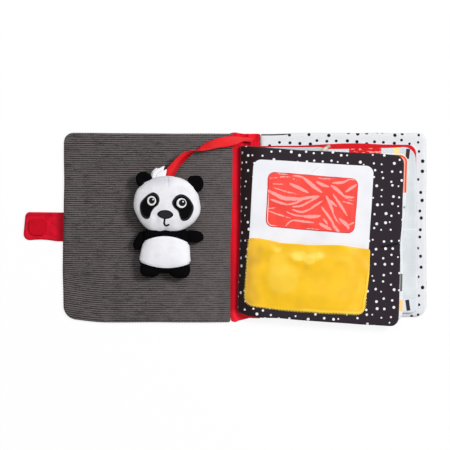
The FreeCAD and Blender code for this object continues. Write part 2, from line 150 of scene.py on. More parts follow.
# A look straight down on to a surface starts this high, in metres.
LOOK_FROM = 0.2
DOWN = Vector((0, 0, -1))

# Stuffing.
STUFFING_FRAMES = 20
PRESSURE = 4.0
PLUSH_MOVE = 6.0                # no point of the panda's plush moves further
POCKET_MOVE = 4.0               # nor any of the pocket's cloth
CLOTH_QUALITY = 6
CLOTH_MASS = 0.25
STITCH_SINK = 0.5               # how far a stitched shape reaches into the plush
OVAL_POINTS = 16
THREAD_SIDES = 6                # of a stitch's round thread


# ---------------- shapes

def node_box(name):
    """Lowest and highest corner of a CAD node, in millimetres."""
    low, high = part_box(name)
    return np.array(low) / MM, np.array(high) / MM


def middle_of(name):
    """Middle of a CAD node's box, in millimetres."""
    low, high = node_box(name)
    return (low + high) / 2


def placed(name, data):
    """New object in the scene."""
    made = bpy.data.objects.new(name, data)
    scene.collection.objects.link(made)
    return made


def new_piece(name, points, faces, finishes, face_finish=None, flat=None):
    """Mesh object from points in millimetres; flat gives each point's place on the uncut cloth."""
    mesh = bpy.data.meshes.new(name)
    mesh.from_pydata((np.asarray(points, float) * MM).tolist(), [], faces)
    for finish in finishes:
        mesh.materials.append(finish)
    if face_finish is not None:
        mesh.polygons.foreach_set("material_index", np.asarray(face_finish, np.int32))
    mesh.polygons.foreach_set("use_smooth", np.ones(len(mesh.polygons), bool))
    if flat is not None:
        corner_points = np.empty(len(mesh.loops), np.int32)
        mesh.loops.foreach_get("vertex_index", corner_points)
        places = mesh.uv_layers.new(name="flat")
        places.data.foreach_set("uv", (np.asarray(flat, float)[corner_points] * MM).ravel())
    mesh.update()
    return placed(name, mesh)


def sewn(made, body, slot, *nodes):
    """The piece rides on a body and stands for its CAD nodes, which it hides; slot is not used."""
    if nodes:
        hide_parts(*nodes)
    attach(made, body)


def on_cover(made, slot, *nodes):
    """The piece is sewn to the front cover."""
    sewn(made, "front_cover", slot, *nodes)


def points_of(made):
    """A piece's points in millimetres."""
    places = np.empty(len(made.data.vertices) * 3, np.float32)
    made.data.vertices.foreach_get("co", places)
    return places.reshape(-1, 3).astype(float) / MM


def set_points(made, points):
    """Move a piece's points; they are given in millimetres."""
    made.data.vertices.foreach_set("co", (np.asarray(points) * MM).astype(np.float32).ravel())
    made.data.update()


def ripple(places, size, seed):
    """Smooth random value between about -1 and 1 at each place, with bumps of about that size."""
    flat_places = np.asarray(places, float)
    rows = flat_places.reshape(-1, flat_places.shape[-1]) / size
    depths = rows[:, 2] if rows.shape[1] > 2 else np.zeros(len(rows))
    values = [noise.noise((x, y, z + seed)) for x, y, z in zip(rows[:, 0], rows[:, 1], depths)]
    return np.array(values).reshape(flat_places.shape[:-1])


def spaced(length, step):
    """Shares from 0 to 1 along a length, close together near both ends."""
    count = max(2, round((length - 2 * EDGE_STEPS[-1]) / step) + 1)
    middle = np.linspace(EDGE_STEPS[-1], length - EDGE_STEPS[-1], count)
    near = np.array(EDGE_STEPS[:-1])
    return np.concatenate([near, middle, length - near[::-1]]) / length


def grid_over(low, high, step):
    """Shares across and along a box for its grid of points."""
    return spaced(high[0] - low[0], step), spaced(high[1] - low[1], step)


def corner_inset(distance, radius):
    """How far a rounded corner draws the outline in, at that distance from the end."""
    inside = np.clip(radius - distance, 0, radius)
    return radius - np.sqrt(radius ** 2 - inside ** 2)


def outline_depth(x, y, width, height, radii):
    """How far inside a rounded rectangle a place is; its foot left corner is the origin."""
    left, right, foot, head = x, width - x, y, height - y
    depth = np.minimum(np.minimum(left, right), np.minimum(foot, head))
    for radius, side, end in zip(radii, (left, right, right, left), (foot, foot, head, head)):
        depth = round_corner(depth, side, end, radius)
    return np.maximum(depth, 0)


def rounded_plan(corners, radii, across, along):
    """Grid of places over a four-sided panel with rounded corners, and their depths inside it."""
    foot_left, foot_right, head_right, head_left = (np.array(corner, float) for corner in corners)
    width = (np.linalg.norm(foot_right - foot_left) + np.linalg.norm(head_right - head_left)) / 2
    height = (np.linalg.norm(head_left - foot_left) + np.linalg.norm(head_right - foot_right)) / 2
    from_foot, from_head = along * height, (1 - along) * height
    draw_left = corner_inset(from_foot, radii[0]) + corner_inset(from_head, radii[3])
    draw_right = corner_inset(from_foot, radii[1]) + corner_inset(from_head, radii[2])
    u = (draw_left[:, None] + across[None, :] * (width - draw_left - draw_right)[:, None]) / width
    v = np.repeat(along[:, None], len(across), axis=1)
    share = u[..., None]
    foot_line = (1 - share) * foot_left + share * foot_right
    head_line = (1 - share) * head_left + share * head_right
    plan = (1 - v[..., None]) * foot_line + v[..., None] * head_line
    return plan, outline_depth(u * width, v * height, width, height, radii)


def rolled(depth, reach, power=0.6):
    """Share of the full thickness at a depth inside the outline, rounded over near it."""
    inside = ramp(depth, 0, reach)
    return (1 - (1 - inside) ** 2) ** power


def ramp(value, start, width):
    """0 before the start, rising evenly to 1 over a width."""
    return np.clip((value - start) / width, 0, 1)


def bump(value, middle, width):
    """1 at the middle, falling softly to nothing a few widths away."""
    return np.exp(-((value - middle) / width) ** 2)


def round_corner(depth, side, end, radius):
    """Depths with one corner of an outline rounded; side and end are the gaps beside it."""
    rounded = radius - np.hypot(radius - side, radius - end)
    return np.where((side < radius) & (end < radius), rounded, depth)


def box_plan(low, high):
    """Corners of an upright rectangle: foot left, foot right, head right, head left."""
    return [(low[0], low[1]), (high[0], low[1]), (high[0], high[1]), (low[0], high[1])]


def grid_faces(index, flipped=False):
    """Four-sided faces over a grid of point numbers."""
    corners = [index[:-1, :-1], index[:-1, 1:], index[1:, 1:], index[1:, :-1]]
    if flipped:
        corners = corners[::-1]
    return np.stack([corner.ravel() for corner in corners], axis=1).tolist()


def tube_faces(base, rings, sides):
    """Faces of a tube with flat ends, whose rings of points start at the number base."""
    last = base + (rings - 1) * sides
    faces = []
    for first in range(base, last, sides):
        for corner in range(sides):
            after = (corner + 1) % sides
            faces.append([first + corner, first + after, first + sides + after, first + sides + corner])
    faces.append([base + corner for corner in range(sides)][::-1])
    faces.append([last + corner for corner in range(sides)])
    return faces


def unit(rows):
    """Directions of one length."""
    return rows / np.linalg.norm(rows, axis=1)[:, None]


def beside_of(along):
    """Level directions square to those along a line."""
    return unit(np.cross([0.0, 0.0, 1.0], along))


def closed_panel(name, upper, lower, finishes, flat):
    """Panel whose upper and lower points meet round its outline. Without lower points its
    back is flat, at the height of the outline. The second finish goes on the back."""
    rows, columns = upper.shape[:2]
    index = np.arange(rows * columns).reshape(rows, columns)
    points = [upper.reshape(-1, 3)]
    places = [flat.reshape(-1, 2)]
    faces = grid_faces(index)
    front_count = len(faces)
    if lower is None:
        left, right = index[:, 0], index[:, -1]
        for row in range(1, rows - 2):
            faces.append([left[row], left[row + 1], right[row + 1], right[row]])
        faces.append([left[0], left[1], right[1]] + index[0, ::-1][:-1].tolist())
        faces.append([left[-2]] + index[-1].tolist() + [right[-2]])
    else:
        back = index.copy()
        count = (rows - 2) * (columns - 2)
        back[1:-1, 1:-1] = rows * columns + np.arange(count).reshape(rows - 2, columns - 2)
        points.append(lower[1:-1, 1:-1].reshape(-1, 3))
        places.append(flat[1:-1, 1:-1].reshape(-1, 2))
        faces += grid_faces(back, flipped=True)
    face_finish = np.zeros(len(faces), np.int32)
    face_finish[front_count:] = len(finishes) - 1
    faces = [[int(corner) for corner in face] for face in faces]
    return new_piece(name, np.concatenate(points), faces, finishes, face_finish, np.concatenate(places))


def turned(places, centre, angle):
    """Plan places about the origin, turned and moved to a centre."""
    turn = math.radians(angle)
    x, y = places[..., 0], places[..., 1]
    return np.stack([centre[0] + x * math.cos(turn) - y * math.sin(turn), centre[1] + x * math.sin(turn)
        + y * math.cos(turn)], axis=-1)


def with_height(plan, height):
    """Plan places with a height each."""
    return np.concatenate([plan, np.broadcast_to(height, plan.shape[:-1])[..., None]], axis=-1)


def curve_between(before, here, after, beyond, share):
    """Places on the smooth line through four knots, at a share of the way from here to after."""
    return 0.5 * (2 * here + (after - before) * share
        + (2 * before - 5 * here + 4 * after - beyond) * share ** 2
        + (3 * here - before - 3 * after + beyond) * share ** 3)


def closed_curve(points, count):
    """Smooth closed line through a few points."""
    knots = np.array(points, float)
    total = len(knots)
    position = np.arange(count) * total / count
    start = position.astype(int)
    share = (position - start)[:, None]
    return curve_between(*(knots[(start + step) % total] for step in (-1, 0, 1, 2)), share)


def open_curve(points, count):
    """Smooth open line through a few points, evenly spaced."""
    knots = np.array(points, float)
    knots = np.vstack([2 * knots[0] - knots[1], knots, 2 * knots[-1] - knots[-2]])
    position = np.linspace(0, len(knots) - 3 - 1e-9, 40 * len(knots))
    start = position.astype(int) + 1
    share = (position - start + 1)[:, None]
    return evenly(curve_between(*(knots[start + step] for step in (-1, 0, 1, 2)), share), count)


def evenly(line, count):
    """The same line with evenly spaced points."""
    steps = np.linalg.norm(np.diff(line, axis=0), axis=1)
    reach = np.concatenate([[0], np.cumsum(steps)])
    wanted = np.linspace(0, reach[-1], count)
    return np.stack([np.interp(wanted, reach, line[:, axis]) for axis in range(line.shape[1])], axis=1)


def line_length(line):
    """Length of a line."""
    return float(np.linalg.norm(np.diff(line, axis=0), axis=1).sum())


# ---------------- finishes

def tone(red, green, blue):
    """Colour as a shader takes it, from the usual 0 to 255 values."""
    shares = [value / 255 for value in (red, green, blue)]
    linear = [share / 12.92 if share <= 0.04045 else ((share + 0.055) / 1.055) ** 2.4 for share in shares]
    return (*linear, 1.0)


class Value:
    """A value, place or colour in a recipe. Sums with it add their nodes to the recipe."""

    def __init__(self, recipe, socket):
        self.recipe = recipe
        self.socket = socket

    def into(self, socket):
        self.recipe.feed(socket, self)

    def math(self, operation, *others):
        return self.recipe.math(operation, self, *others)

    def __add__(self, other):
        return self.math("ADD", other)

    def __sub__(self, other):
        return self.math("SUBTRACT", other)

    def __mul__(self, other):
        return self.math("MULTIPLY", other)

    def __rtruediv__(self, other):
        return self.recipe.math("DIVIDE", other, self)

    def times(self, factor, added):
        """The value times a factor, with something added."""
        return self.math("MULTIPLY_ADD", factor, added)

    def ease(self, start, end, low=0.0, high=1.0):
        """The value turned smoothly from low at start to high at end."""
        feeds = {"Value": self, "From Min": start, "From Max": end, "To Min": low, "To Max": high}
        return self.recipe.add("MapRange", feeds, interpolation_type="SMOOTHSTEP")

    def between(self, first, second):
        """Colour between two colours; the value is the second one's share."""
        return self.recipe.add("Mix", {0: self, 6: first, 7: second}, 2, data_type="RGBA")

    def shaded(self, colour, amount=0.08):
        """A colour a little darker and lighter where the value is low and high."""
        dark = tuple(part * (1 - amount) for part in colour[:3]) + (1.0,)
        light = tuple(min(part * (1 + amount), 1.0) for part in colour[:3]) + (1.0,)
        return self.ease(0.25, 0.75).between(dark, light)

    def dulled(self, colour):
        """A recipe's colour, darkened a little where the value is low."""
        return self.ease(0.25, 0.7, 0.14, 0.0).between(colour, (0.0, 0.0, 0.0, 1.0))

    def vector(self, operation, *others):
        return self.recipe.add("VectorMath", dict(enumerate((self, *others))), operation=operation)

    def stretched(self, *scale):
        """Place with each direction scaled."""
        return self.vector("MULTIPLY", scale)

    def parts(self):
        """A place's x, y and z."""
        outputs = self.recipe.node("SeparateXYZ", {0: self}).outputs
        return [Value(self.recipe, socket) for socket in outputs]

    def noise(self, size, detail=2.0, roughness=0.5):
        """Smooth random value at a place, with bumps of about that size."""
        feeds = {"Vector": self, "Scale": 1 / size, "Detail": detail, "Roughness": roughness}
        return self.recipe.add("TexNoise", feeds)

    def panel(self, centre, half_size, corner, turn=0.0):
        """Depth and mask of a rounded rectangle at a place; its turn is in radians."""
        return self.recipe.effect(PANEL, place=self, centre=(*centre, 0.0), half_size=(*half_size, 0.0),
            turn=turn, corner=corner)


class Recipe:
    """A node tree, with short ways of adding to it."""

    def __init__(self, tree):
        self.tree = tree

    def feed(self, socket, value):
        if isinstance(value, Value):
            self.tree.links.new(value.socket, socket)
        else:
            socket.default_value = value

    def node(self, kind, feeds=None, **settings):
        made = self.tree.nodes.new("ShaderNode" + kind)
        for name, value in settings.items():
            setattr(made, name, value)
        for socket, value in (feeds or {}).items():
            self.feed(made.inputs[socket], value)
        return made

    def add(self, kind, feeds=None, output=0, **settings):
        """Value at one output of a new node."""
        return Value(self, self.node(kind, feeds, **settings).outputs[output])

    def math(self, operation, *values):
        return self.add("Math", dict(enumerate(values)), operation=operation)

    def effect(self, group, **feeds):
        """One of the shared effects; an input named thread_pitch feeds its Thread pitch."""
        made = self.tree.nodes.new("ShaderNodeGroup")
        made.node_tree = group
        for name, value in feeds.items():
            self.feed(made.inputs[name.replace("_", " ").capitalize()], value)
        return {socket.name: Value(self, socket) for socket in made.outputs}

    def looked_at(self):
        """1 where a place is looked at, straight or in a reflection or through something clear."""
        rays = self.node("LightPath").outputs
        camera, glossy, clear = (Value(self, rays[name]) for name in ("Is Camera Ray", "Is Glossy Ray",
            "Is Transmission Ray"))
        return camera.math("MAXIMUM", glossy.math("MAXIMUM", clear))


def new_effect(name, inputs, outputs):
    """Empty shared effect: its group, the sockets that take its outputs, and its inputs."""
    group = bpy.data.node_groups.new(name, "ShaderNodeTree")
    for socket, kind in inputs:
        group.interface.new_socket(socket, in_out="INPUT", socket_type="NodeSocket" + kind)
    for socket in outputs:
        group.interface.new_socket(socket, in_out="OUTPUT", socket_type="NodeSocketFloat")
    recipe = Recipe(group)
    given = group.nodes.new("NodeGroupInput").outputs
    wanted = group.nodes.new("NodeGroupOutput").inputs
    return group, wanted, *(Value(recipe, given[socket]) for socket, _ in inputs)


def weave_effect():
    """Plain weave: threads that cross, with a slight unevenness."""
    group, wanted, place, pitch = new_effect("plain_weave",
        [("Place", "Vector"), ("Thread pitch", "Float")], ["Height", "Slub"])
    x, y, _ = place.parts()
    turns = 2 * math.pi / pitch
    crossing = ((x * turns).math("SINE") * (y * turns).math("SINE")).times(0.5, 0.5)
    along = place.stretched(0.12, 1.9, 1.0).noise(1.0, 3.0)
    over = place.stretched(1.9, 0.12, 1.0).noise(1.0, 3.0)
    slub = (along + over) * 0.5
    crossing.times(0.7, slub * 0.6).into(wanted["Height"])
    slub.into(wanted["Slub"])
    return group


def dots_effect():
    """Printed round dots of mixed sizes, scattered at about one spacing."""
    group, wanted, place, spacing, smallest, largest, scatter = new_effect("printed_dots",
        [("Place", "Vector"), ("Spacing", "Float"), ("Smallest", "Float"), ("Largest", "Float"),
        ("Scatter", "Float")], ["Mask"])
    feeds = {"Vector": place, "Scale": 1.0 / spacing, "Randomness": scatter}
    cells = place.recipe.node("TexVoronoi", feeds, voronoi_dimensions="2D").outputs
    reach = Value(place.recipe, cells["Distance"]) * spacing
    pick = Value(place.recipe, cells["Color"]).parts()[0]
    radius = pick.times(largest - smallest, smallest)
    (radius - reach).ease(-PRINT_EDGE, PRINT_EDGE).into(wanted["Mask"])
    return group


def panel_effect():
    """Rounded rectangle: how deep inside it a place is, in millimetres, and its mask."""
    group, wanted, place, centre, half_size, turn, corner = new_effect("rounded_panel",
        [("Place", "Vector"), ("Centre", "Vector"), ("Half size", "Vector"), ("Turn", "Float"),
        ("Corner", "Float")], ["Depth", "Mask"])
    feeds = {"Vector": place.vector("SUBTRACT", centre), "Angle": turn}
    level = place.recipe.add("VectorRotate", feeds, rotation_type="Z_AXIS", invert=True)
    over_x, over_y, _ = level.vector("ABSOLUTE").vector("SUBTRACT", half_size).parts()
    past_x, past_y = over_x + corner, over_y + corner
    squares = [past.math("MAXIMUM", 0.0).math("POWER", 2.0) for past in (past_x, past_y)]
    outside = (squares[0] + squares[1]).math("SQRT")
    within = past_x.math("MAXIMUM", past_y).math("MINIMUM", 0.0)
    depth = corner - (outside + within)
    depth.into(wanted["Depth"])
    depth.ease(-PRINT_EDGE, PRINT_EDGE).into(wanted["Mask"])
    return group


def pile_effect():
    """Short brushed pile: fine tufts, and the soft patches where it lies another way."""
    group, wanted, place, tuft_size = new_effect("brushed_pile",
        [("Place", "Vector"), ("Tuft size", "Float")], ["Height", "Lie"])
    place.noise(tuft_size, 3.0, 0.65).into(wanted["Height"])
    place.noise(9.0, 3.0, 0.6).into(wanted["Lie"])
    return group


def satin_effect():
    """Satin: fine floats in one direction, and slow waves in how they catch the light."""
    group, wanted, place, width = new_effect("satin_floats",
        [("Place", "Vector"), ("Float width", "Float")], ["Height", "Wave"])
    place.stretched(0.06, 1.0, 1.0).noise(width).into(wanted["Height"])
    place.noise(22.0, 2.0, 0.45).into(wanted["Wave"])
    return group


def stitch_effect():
    """Close parallel threads of embroidery, along x."""
    group, wanted, place, pitch = new_effect("thread_rows",
        [("Place", "Vector"), ("Thread pitch", "Float")], ["Height"])
    phase = place.parts()[1].times(2 * math.pi / pitch, place.noise(1.6) * 2.5)
    phase.math("SINE").times(0.5, 0.5).into(wanted["Height"])
    return group


WEAVE = weave_effect()
DOTS = dots_effect()
PANEL = panel_effect()
PILE = pile_effect()
SATIN = satin_effect()
THREAD = stitch_effect()


class Finish(Recipe):
    """A material: one shader, and the recipe that feeds it. Its place is that on the cloth
    before it was sewn, or on the piece where flat is False, in millimetres."""

    def __init__(self, name, roughness, sheen, flat=True, **constants):
        self.material = bpy.data.materials.new(name)
        self.material.use_nodes = True
        super().__init__(self.material.node_tree)
        self.shader = self.tree.nodes["Principled BSDF"].inputs
        self.shader["Roughness"].default_value = roughness
        self.shader["Sheen Weight"].default_value = sheen
        self.shader["Specular IOR Level"].default_value = 0.1
        for socket, value in constants.items():
            self.shader[socket.replace("_", " ")].default_value = value
        spot = self.add("UVMap", uv_map="flat") if flat else self.add("TexCoord", output="Object")
        self.place = self.add("VectorMath", {0: spot, "Scale": 1 / MM}, operation="SCALE")

    def colour(self, value):
        self.feed(self.shader["Base Color"], value)

    def roughness(self, value):
        self.feed(self.shader["Roughness"], value)

    def raise_by(self, height, distance):
        """Relief: height is 0 to 1 and distance is its depth in millimetres."""
        feeds = {"Height": height, "Distance": distance * MM, "Strength": 1.0}
        self.feed(self.shader["Normal"], self.add("Bump", feeds))

    def woven(self, depth=0.05, pitch=0.5):
        """Raise the threads of a plain weave; returns their unevenness."""
        weave = self.effect(WEAVE, place=self.place, thread_pitch=pitch)
        self.raise_by(weave["Height"], depth)
        return weave["Slub"]

    def satin(self):
        """Raise the floats of satin; returns the slow waves in them."""
        satin = self.effect(SATIN, place=self.place, float_width=0.35)
        self.raise_by(satin["Height"], 0.03)
        return satin["Wave"]


def woven_finish(name, colour, pitch, flat=False):
    """Plain woven cotton in one colour."""
    finish = Finish(name, 0.85, 0.04, flat)
    slub = finish.woven(0.06, pitch)
    finish.colour((slub * 0.6 + finish.place.noise(30.0, 3.0) * 0.4).shaded(colour))
    finish.roughness(slub.ease(0.3, 0.7, 0.91, 0.79))
    return finish.material


def spine_finish():
    """Red cotton of the spine, deeper red towards its foot, with painted shade beside the leaves and in the
    gathered cloth at its head, a painted shadow under the ribbon's end and painted light on its foot lobe.
    """
    finish = Finish("red_cotton", 0.85, 0.04)
    finish.woven(0.06)
    place = finish.place
    x, y, _ = place.parts()
    red = place.stretched(1.0, 0.4, 1.0).noise(7.0).shaded(tone(226, 22, 42), 0.1)
    # Painted light on the foot lobe of the spine.
    red = y.ease(-88.0, -94.0).between(red, tone(250, 36, 56))
    # Painted shade beside the leaves, where their shadow falls on the spine; the cloth is also darker towards
    # its foot.
    beside = x.ease(-12.5, -7.5, 0.0, 0.5) * y.ease(92.0, 84.0)
    deep = y.ease(10.0, -70.0, 0.0, 0.55).math("MAXIMUM", beside) * y.ease(-95.0, -86.0)
    red = deep.between(red, tone(168, 4, 30))
    # Painted shade in the gathered folds at the head of the spine.
    gather_shade = place.stretched(1.0, 0.25, 1.0).noise(3.2, 1.0, 0.4)
    gather_shade = gather_shade.ease(0.48, 0.64, 0.0, 0.6) * y.ease(87.0, 91.0)
    red = gather_shade.between(red, tone(188, 2, 24))
    # Painted shadow under the ribbon's end, where it dips into the gutter.
    under = place.panel((1.0, 91.8), (4.6, 2.2), 2.2, math.radians(-12.0))
    finish.colour(under["Depth"].ease(-0.6, 1.6).between(red, tone(140, 0, 12)))
    return finish.material


def tab_finish():
    """Crimson cotton of the tab, with a painted shadow, deep red, where it meets the cover."""
    finish = Finish("crimson_cotton", 0.8, 0.04)
    finish.woven(0.06)
    red = finish.place.noise(8.0).shaded(tone(205, 12, 39), 0.16)
    # Painted shadow of the cover's edge on the tab, deep red.
    cover_shadow = finish.place.parts()[0].ease(-209.0, -200.5, 0.0, 0.85)
    finish.colour(cover_shadow.between(red, tone(128, 0, 16)))
    return finish.material


def corduroy_finish(low_y, high_y):
    """Grey corduroy: wales along x, with painted light on their brushed tops, painted shade in the dark ground
    between them, and painted light growing towards the spine.
    """
    finish = Finish("grey_corduroy", 0.92, 0.12, Sheen_Roughness=0.4)
    place = finish.place
    x, y, _ = place.parts()
    ridge = ((y - low_y) * (math.pi * WALE_COUNT / (high_y - low_y))).math("SINE").math("ABSOLUTE")
    brushed = place.stretched(0.09, 0.34, 0.0).noise(1.0, 2.0, 0.55)
    patches = place.stretched(0.6, 1.0, 0.0).noise(9.0, 3.0, 0.6)
    nap = place.noise(30.0, 3.0, 0.55)
    fluff = place.stretched(0.6, 1.0, 1.0).noise(1.2, 3.0, 0.75)
    # The wales' tone follows their ridges: painted light on the tops and painted shade in the grooves, under
    # patchy brushed tone.
    wale = (ridge.ease(0.15, 0.95) - 0.5).times(patches.ease(0.32, 0.62, 0.25, 1.0), 0.5)
    lifted = (fluff - 0.5).times(1.5, (brushed - 0.5).times(0.9, wale))
    # Painted light, growing towards the spine.
    pale = (lifted + x.ease(-120.0, -30.0, 0.0, 0.2)).ease(0.0, 1.0)
    finish.colour(nap.dulled(pale.between(tone(30, 27, 28), tone(108, 101, 101))))
    finish.raise_by(fluff.times(0.4, lifted), 0.2)
    return finish.material


def dotted_finish(name, ground, dot, spacing, smallest, largest, seed, scatter=0.62, gutter=None):
    """Cotton with a scattered dot print, with painted shade beside the gutter where a gutter colour is given;
    returns the finish and its colour."""
    finish = Finish(name, 0.82, 0.08)
    slub = finish.woven()
    dots = finish.effect(DOTS, place=finish.place.vector("ADD", (seed, 2 * seed, 0.0)), spacing=spacing,
        smallest=smallest, largest=largest, scatter=scatter)
    # A gutter colour is painted shade where the leaf curves down into the gutter.
    if gutter:
        cloth = slub.dulled(finish.place.parts()[0].ease(1.0, 26.0).between(gutter, ground))
    else:
        cloth = slub.shaded(ground)
    return finish, dots["Mask"].between(cloth, dot)


def print_and_shade_blocks(place, colour, blocks):
    """Small blocks over a colour: print, and painted shade and highlight where a caller gives them; each has
    its left, right, foot and head, its colour, and its turn in degrees if it isn't nearly upright."""
    for (left, right, foot, head), paint, *turn in blocks:
        centre, half_size = ((left + right) / 2, (foot + head) / 2), ((right - left) / 2, (head - foot) / 2)
        block = place.panel(centre, half_size, 0.5, math.radians(turn[0] if turn else -1.5))
        colour = block["Mask"].between(colour, paint)
    return colour


def back_lining_finish():
    """White cotton with black dots, a grey edge at its head and slivers of print at its fore edge."""
    finish, colour = dotted_finish("dotted_white_cotton", tone(221, 222, 226), tone(24, 24, 28), 10.3,
        1.35, 2.05, 7.0, scatter=0.55)
    slivers = [((187.5, 188.7, -61.0, -53.5), tone(240, 110, 140), 6.0),
        ((187.0, 188.0, 21.5, 23.5), tone(240, 160, 90), 20.0),
        ((186.6, 187.6, 17.0, 18.4), tone(238, 170, 110), -20.0),
        ((188.2, 189.0, 26.0, 27.2), tone(240, 150, 100), 30.0)]
    x, y, _ = finish.place.parts()
    rim = y.ease(100.2, 100.6) * x.ease(52.0, 40.0)
    finish.colour(rim.between(print_and_shade_blocks(finish.place, colour, slivers), tone(70, 68, 70)))
    return finish.material


def top_leaf_finish():
    """Black cotton with white dots, and the plain white panel printed on it, with painted shade beside the
    gutter, along a crease and in two folds of the panel.
    """
    white = tone(240, 240, 244)
    # Its gutter colour is painted shade.
    finish, colour = dotted_finish("dotted_black_cotton", tone(47, 39, 46), white, 9.3, 0.85, 1.62, 31.0,
        gutter=tone(34, 20, 22))
    # Painted shade, near black, along the crease in from the fore edge.
    start, end = np.array(CREASE_START), np.array(CREASE_END)
    middle, run = (start + end) / 2 + (2.5, 0.6), end - start
    crease = finish.place.panel(middle, (np.linalg.norm(run) / 2, 0.5), 0.5, math.atan2(run[1], run[0]))
    colour = crease["Mask"].between(colour, tone(12, 9, 12))
    panel = finish.place.panel((69.6, 12.5), (65.2, 58.0), 8.5, math.radians(-3.4))
    paper = finish.place.noise(34.0).ease(0.3, 0.7).between(tone(231, 232, 238), white)
    # Painted shade along two folds in the white panel.
    folds = [((69.6, 80.6, 62.4, 63.2), tone(222, 222, 228), 34.0),
        ((76.0, 84.0, 61.0, 61.6), tone(226, 226, 232), 30.0)]
    finish.colour(panel["Mask"].between(colour, print_and_shade_blocks(finish.place, paper, folds)))
    return finish.material


def middle_leaf_finish():
    """White cotton with a striped border round its head corner."""
    finish = Finish("bordered_white_cotton", 0.82, 0.08)
    x, y, _ = finish.place.parts()
    ground = finish.woven().shaded(tone(224, 227, 229), 0.04)
    depth = finish.place.panel((82.0, -8.0), (91.0, 91.4), 9.0, math.radians(-2.1))["Depth"]
    border = depth.ease(1.0, 1.3).between(tone(250, 226, 200), tone(214, 84, 62))
    border = depth.ease(3.0, 3.3).between(border, tone(255, 168, 146))
    band = depth.ease(5.2, 4.9) * y.ease(37.6, 38.2) * x.ease(158.0, 162.0)
    blocks = [((165.8, 170.4, -90.6, -78.0), tone(250, 206, 140)),
        ((166.9, 169.4, -69.0, -50.0), tone(104, 106, 108)),
        ((170.4, 172.6, 21.0, 23.4), tone(150, 152, 156))]
    finish.colour(print_and_shade_blocks(finish.place, band.between(ground, border), blocks))
    return finish.material


def bottom_leaf_finish():
    """Pale cotton with a red edge at the head and small blocks of print along two bands, with painted shade
    near the head and painted shade and highlights along a fold and a crease.
    """
    finish = Finish("block_printed_cotton", 0.82, 0.08)
    place = finish.place
    x, y, _ = place.parts()
    ground = place.noise(24.0).ease(0.3, 0.7).between(tone(212, 218, 221), tone(225, 230, 233))
    fine_stripes = ((x + y) * 1.7).math("SINE").ease(-0.3, 0.3)
    grey = fine_stripes.between(tone(202, 209, 215), tone(220, 224, 228))
    streaks = place.stretched(0.16, 0.42, 1.0).noise(1.0, 1.0)
    red = streaks.ease(0.52, 0.58).between(tone(206, 30, 36), tone(244, 150, 140))
    # The first block is painted shade near the head, and the pale thin block at y -2 is a painted highlight
    # along a crease.
    blocks = [((20.0, 100.0, 68.0, 90.0), tone(186, 193, 197)), ((90.0, 112.0, 75.0, 87.0), grey),
        ((111.8, 146.4, 75.0, 87.0), red), ((146.6, 160.4, 75.0, 87.0), grey),
        ((160.6, 166.2, 75.0, 87.0), tone(250, 224, 150)), ((173.5, 177.6, 74.6, 85.4), tone(56, 46, 58),
        -7.0), ((164.0, 186.0, -91.6, -76.6), tone(218, 223, 229)),
        ((165.0, 185.0, -76.7, -76.3), tone(196, 201, 208)),
        ((165.0, 185.0, -2.4, -1.6), tone(228, 233, 235), 0.5),
        ((173.4, 177.6, -90.4, -78.4), tone(52, 48, 58), 7.0)]
    colour = print_and_shade_blocks(place, finish.woven().dulled(ground), blocks)
    edge = place.panel((86.4, -2.1), (100.0, 91.2), 16.0, math.radians(0.45))
    widening = x.ease(78.0, 90.0, 1.6, 3.7) - x.ease(100.0, 150.0, 0.0, 0.7)
    reach = widening * x.ease(160.0, 186.0, 1.0, 0.5)
    red_edge = (reach - edge["Depth"]).ease(-PRINT_EDGE, PRINT_EDGE) * y.ease(64.0, 76.0)
    edge_red = x.ease(70.0, 88.0).between(tone(176, 22, 34), tone(205, 24, 34))
    # Painted shade and a painted highlight along a fold near the head.
    fold = [((78.5, 92.0, 84.4, 87.4), tone(176, 172, 152), 30.0),
        ((83.5, 88.5, 85.0, 86.6), tone(224, 222, 208), 30.0)]
    finish.colour(print_and_shade_blocks(place, red_edge.between(colour, edge_red), fold))
    return finish.material


def ribbon_finish():
    """Red satin ribbon, with painted shade, deeper red, on the half past its twist towards the panda."""
    finish = Finish("red_ribbon_satin", 0.42, 0.0, Anisotropic=0.35, Specular_IOR_Level=0.1)
    x, y, _ = finish.place.parts()
    side = y + x.ease(84.0, 104.0, 0.0, 2.2)
    # Painted shade, deeper red, on the half of the ribbon past its twist.
    deep = x.ease(RIBBON_TWIST - 8.0, RIBBON_TWIST + 4.0) * side.ease(1.0, -0.6)
    finish.colour(deep.between(finish.satin().shaded(tone(218, 30, 36), 0.16), tone(176, 0, 18)))
    return finish.material


